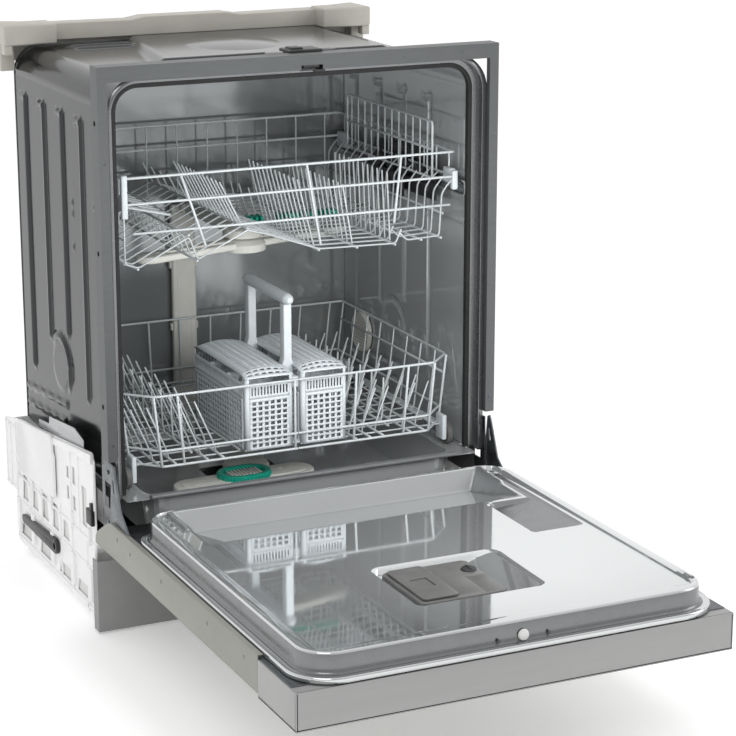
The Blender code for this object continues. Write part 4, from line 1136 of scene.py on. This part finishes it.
def build_folding_tines(word, side):
    row = [[(side * 155, 58, 255.5), (side * 155, 398, 255.5)]]
    tines = [
        [(side * 155, y, 255.5), (side * 158, y, 266), (side * 160, y, 322)]
        for y in steps_between(86, 370, 8)
    ]
    mesh = [wires(row, THICK_WIRE), wires(tines, 1.5, 6)]
    piece(f"fold_tines_{word}", mesh, "wire", f"tines_{word}", [f"tine_row_{word}"], angle=60)


def build_roller(word, side, end, y):
    """A spoked wheel with a double rim on its axle."""
    x, z = side * 252.5, 231.8
    half = [(5, 3.4), (8, 3.2), (9, 1.6), (13.2, 1.6), (14, 4.3), (15.6, 4.3), (16.5, 3.2)]
    tyre = half + [(r, -h) for r, h in reversed(half)] + half[:1]
    parts = [lathe(tyre, (x, y, z), (1, 0, 0), 40)]
    hub = [(0, 4.4), (3.4, 4.4), (4.4, 3.6), (4.4, -3.6), (3.4, -4.4), (0, -4.4)]
    parts.append(lathe(hub, (x, y, z), (1, 0, 0), 24))
    for k in range(6):
        dy, dz = math.cos(math.tau * k / 6), math.sin(math.tau * k / 6)
        spoke = [(x, y + dy * r, z + dz * r) for r in (3.5, 13.6)]
        parts.append(wires([spoke], 1.7, 8))
    body, nodes = f"roller_{end}_{word}", [f"wheel_{end}_{word}"]
    piece(body, parts, "dark_plastic", body, nodes)


# ------------------------------------------------------------------ cutlery basket
def basket_half(x0, x1):
    """One half of the cutlery basket: four lattice walls, a floor, a belt and a domed lid of dashes."""
    plates = []
    a, b, low, high = 41.0, 238.0, 252.0, 358.0
    wall, belt = high - low - 30, high - 30
    width = x1 - x0
    r = 6.0
    long, short = (0, b - a - 2 * r, 0), (width - 2 * r, 0, 0)
    sides = [(x0 + r, y, short, 6, 12, 0.03) for y in (a - 1.5, b + 1.5)]
    sides += [(x, a + r, long, 18, 34, 0.01) for x in (x0, x1)]
    for x, y, across, columns, dashes, margin in sides:
        plates.append(perforated((x, y, low), across, (0, 0, wall), columns, 9, 0.36, 0.34))
        plates.append(perforated((x, y, belt), across, (0, 0, 22), dashes, 1, 0.45, 0.3, margin, 0.1))
    plates.append(perforated((x0, a, low), (width, 0, 0), (0, b - a, 0), 7, 17, 0.5, 0.5))
    for k in (1, 2):
        y = a + (b - a) * k / 3
        plates.append(perforated((x0, y, low), (width, 0, 0), (0, 0, high - low - 6), 6, 6, 0.5, 0.5))
    for x, across in ((x0, 1), (x1, -1)):
        for y, along in ((a - 1.5, 1), (b + 1.5, -1)):
            arc = [(0, 1), (0.29, 0.29), (1, 0)]
            ring = [(x + across * r * u, y + along * r * v) for u, v in arc]
            plates.append(grid_sheet("corner", [[P(cx, cy, z) for cx, cy in ring] for z in (low, high)]))
    lid = perforated((x0, a - 1.5, high), (width, 0, 0), (0, b - a + 3, 0), 6, 30, 0.4, 0.5, 0.07, 0.02)
    for v in lid.vertices:
        u = (v.co.x * 1000 - x0) / width
        w = ((v.co.y - FRONT) * 1000 - a) / (b - a)
        rise = smoothstep(-0.02, 0.10, w) * (1 - smoothstep(0.92, 1.03, w))
        v.co.z += (4.0 + 7.0 * (1 - (2 * u - 1) ** 2)) * rise * 0.001
    plates.append(lid)
    return plates


def build_basket():
    """The two halves, the spine between them and the T-shaped handle."""
    plates = basket_half(-79.5, -5.5) + basket_half(7.0, 78.5)
    shell = piece("basket_lattice", plates, "basket", "cutlery", ["cutlery_basket"], angle=40)
    thicken(shell, 1.5, 0.0)
    parts = []
    for y in (82, 214):
        outline = [(-5.5, 350), (-7.5, 362), (-4.2, 372), (-4.2, 452)]
        outline += [(8.2, 452), (8.2, 372), (11, 362), (9.5, 350)]
        parts.append(extrude([outline], y - 7.5, y + 7.5, "Y", 1.6, 3))
    grip = []
    for i, y in enumerate(steps_between(66, 231, 40)):
        end = min(i, 39 - i)
        size = 9.2 - (0.25 if i % 2 else 0.0)
        if end < 3:
            size = 9.2 * math.sqrt(1 - ((3 - end) / 3.4) ** 2)
        turn = [math.tau * k / 20 for k in range(20)]
        grip.append([P(2 + size * math.cos(a), y, 459 + size * 0.92 * math.sin(a)) for a in turn])
    parts.append(grid_sheet("grip", grip, True))
    for y, facing in ((66, -1), (231, 1)):
        parts.append(lathe([(0, 1.4), (2.6, 1.2), (4.4, 0.0), (0, 0)], (2, y, 459), (0, facing, 0), 20))
    parts += boxes(((-5, 44, 253), (6.5, 236, 256), 1.0), ((-4.5, 46, 336), (6, 234, 352), 2.0))
    piece("basket_handle", parts, "basket", "cutlery")


# ------------------------------------------------------------------ lower spray arms and basin
def build_lower_arm():
    """The main arm: a long blade that narrows away from the satellite, a hub and jets."""
    hub, planet = Vector((0, ARM_Y)), Vector(PLANET)
    away = (hub - planet).normalized()
    far = hub + away * 182
    parts = [extrude([link(tuple(planet), 30, tuple(far), 22)], 162.2, 171.8, "Z", 3.0, 4)]
    disc = [(0, 172.2), (26, 172.2), (33, 170), (36, 166), (35, 160.2), (0, 160.2)]
    parts.append(lathe(disc, (0, ARM_Y, 0), steps=48))
    for d in (60, 90, 120, 150, 172):
        c = hub + away * d + Vector((-away.y, away.x)) * 7
        parts.append(lathe([(1.4, 1.0), (3.4, 0.9), (4.4, 0), (1.4, 0)], (c.x, c.y, 171.6), steps=16))
    piece("lower_arm_blade", parts, "arm", "lower_arm", ["lower_spray_arm"])


def build_satellite():
    """The small arm with its jets, and the toothed teal cap with the ribs inside it."""
    ca, sa = math.cos(math.radians(4)), math.sin(math.radians(4))
    reach = 84.0

    def tip(s, d):
        return (PLANET[0] + s * ca * d, PLANET[1] + s * sa * d)

    body = extrude([link(tip(-1, reach), 29, tip(1, reach), 28.99)], 172.6, 181.4, "Z", 3.4, 5)
    deck = extrude([link(tip(-1, reach * 0.94), 22, tip(1, reach * 0.94), 21.99)], 180, 182.6, "Z", 1.2, 3)
    parts = [body, deck]
    for s in (-1, 1):
        for d in (44, 62, 80):
            x, y = tip(s, d)
            jet = [(1.3, 1.0), (3.0, 0.8), (4.0, 0), (1.3, 0)]
            parts.append(lathe(jet, (x, y + 7 * s, 182.4), steps=16))
    piece("satellite_body", parts, "arm", "satellite", ["satellite_arm"])
    outer = link(tip(-1, 12), 28.5, tip(1, 12), 28.49, 9)
    inner = link(tip(-1, 12), 21.0, tip(1, 12), 20.99, 9)
    teal = [extrude([outer, inner], 173.2, 190.0, "Z", 2.4, 4)]
    for (x0, y0), (x1, y1) in zip(outer, outer[1:] + outer[:1]):
        n = max(1, round(math.hypot(x1 - x0, y1 - y0) / 5.4))
        for i in range(n):
            x, y = x0 + (x1 - x0) * i / n, y0 + (y1 - y0) * i / n
            teal.append(wires([[(x, y, 175.2), (x, y, 187.4)]], 1.7, 8, name="tooth"))
    ribs = []
    for k in range(-4, 5):
        x, y = tip(1, k * 5.6)
        ribs.append(rounded_box((x - 1.3, y - 15, 182), (x + 1.3, y + 15, 188.4), 0.5, 2))
    piece("satellite_ribs", ribs, "arm", "satellite")
    piece("satellite_teal_cap", teal, "teal", "satellite")


def spokes(x, y, ends, count, radius):
    """Wires that point away from an upright axis: each end's distance from it and height."""
    parts = []
    for k in range(count):
        a = math.tau * k / count
        parts.append(wires([[(x + r * math.cos(a), y + r * math.sin(a), z) for r, z in ends]], radius, 6))
    return parts


def build_caps():
    """The softener cap with its grip ribs, and the slatted vent cap on the right wall."""
    cap = [(0, 7.6), (10, 7.6), (12, 8.8), (14, 8.8), (15, 7.2), (29, 6.4), (33, 4), (34, 0), (0, 0)]
    cap = [lathe(cap, (188, 158, 151.4), steps=48)]
    cap += spokes(188, 158, ((17, 158.8), (29, 158.0)), 24, 0.9)
    piece("softener_cap", cap, "arm", "machine", ["salt_cap"])
    vent = [(0, 5.6), (12, 5.9), (27, 5.6), (31, 6.8), (33, 4), (33, 0), (0, 0)]
    vent = [lathe(vent, (270.6, 392, 309), (-1, 0, 0), 48)]
    for k in range(-5, 6):
        half = math.sqrt(28.0**2 - (k * 5.0) ** 2)
        vent.append(wires([[(264.6, 392 - half, 309 + k * 5), (264.6, 392 + half, 309 + k * 5)]], 1.1, 6))
    piece("vent_grille", vent, "arm", "machine", ["vent_cap"])


def build_duct_and_filter():
    """The water duct up the back wall with its clamps, and the round filter in the basin."""
    duct = boxes(
        ((-34, 445.2, 194), (6, 456.3, 532), 4.0, 4),
        ((-30, 453.2, 163), (2, 456.3, 200), 1.0),
        ((-26, 444.9, 206), (-23.5, 447, 500), 0.5),
        ((-4.5, 444.9, 206), (-2, 447, 500), 0.5),
    )
    for z in (230, 330, 430):
        duct.append(rounded_box((-37, 449, z), (9, 456.3, z + 12), 1.5))
    piece("duct_moulding", duct, "arm", "machine", ["feed_duct"])
    mesh = [(12, 153.4), (44, 153.4), (46, 151.5), (46, 146), (36, 145), (34, 80), (12, 80), (12, 153.4)]
    core = [(0, 155), (9, 155), (12, 153.6), (12, 140), (0, 140)]
    sieve = [lathe(mesh, (0, ARM_Y, 0), steps=48), lathe(core, (0, ARM_Y, 0), steps=32)]
    sieve += spokes(0, ARM_Y, ((18, 153.6), (42, 153.6)), 36, 0.6)
    piece("filter_sieve", sieve, "dark_plastic", "machine", ["filter_cylinder"])


build_upper_rack()
build_upper_arm()
build_lower_rack()
build_basket()
build_lower_arm()
build_satellite()
build_caps()
build_duct_and_filter()


# ------------------------------------------------------------------ floor, camera, light
def build_stage():
    corners = [(x * 40, y * 40, -0.0005) for x, y in ((-1, -1), (1, -1), (1, 1), (-1, 1))]
    mesh = plain_mesh("studio_floor", corners, [(0, 1, 2, 3)])
    floor = bpy.data.objects.new("studio_floor", mesh)
    scene.collection.objects.link(floor)
    mesh.materials.append(MAT["floor"])


def build_camera():
    lens = bpy.data.cameras.new("camera")
    lens.sensor_width = 36
    lens.lens = 113.7
    lens.clip_end = 60
    camera = bpy.data.objects.new("camera", lens)
    camera.location = (-1.2745, -2.8951 + FRONT, 1.2412)
    camera.rotation_euler = (math.radians(74.7), 0, math.radians(-25.3))
    scene.collection.objects.link(camera)
    scene.camera = camera


def area(name, location, target, size, power, colour=(1, 1, 1)):
    light = bpy.data.lights.new(name, "AREA")
    light.shape = "RECTANGLE"
    light.size, light.size_y = size
    light.energy = power
    light.color = colour
    obj = bpy.data.objects.new(name, light)
    obj.location = location
    obj.rotation_euler = (Vector(target) - Vector(location)).to_track_quat("-Z", "Y").to_euler()
    scene.collection.objects.link(obj)
    return obj


def build_world():
    """A white studio: bright behind and above the object, dimmer in front of it."""
    world = bpy.data.worlds.new("studio")
    scene.world = world
    world.use_nodes = True
    tree = world.node_tree
    link = tree.links.new
    place = add_node(tree, "TexCoord")
    slope = add_node(tree, "VectorMath", {1: (0.10, 0.25, 0.08)})
    slope.operation = "DOT_PRODUCT"
    level = add_node(tree, "Math", {1: 0.76})
    level.operation = "ADD"
    link(place.outputs["Generated"], slope.inputs[0])
    link(slope.outputs["Value"], level.inputs[0])
    link(level.outputs["Value"], tree.nodes["Background"].inputs["Strength"])
    tree.nodes["Background"].inputs["Color"].default_value = (1, 1, 1, 1)


def build_light():
    area("key", (-1.8, -2.4, 3.0), (0, 0, 0.4), (2.2, 1.6), 26)
    area("fill", (2.8, -1.4, 1.8), (0, 0, 0.4), (1.6, 2.2), 20)
    inside = area("inside", (0.05, -0.50, 0.58), (0.05, 0.5, 0.34), (0.6, 0.3), 5.5)
    inside.visible_camera = inside.visible_glossy = False
    scene.view_settings.view_transform = "Standard"


build_stage()
build_camera()
build_world()
build_light()
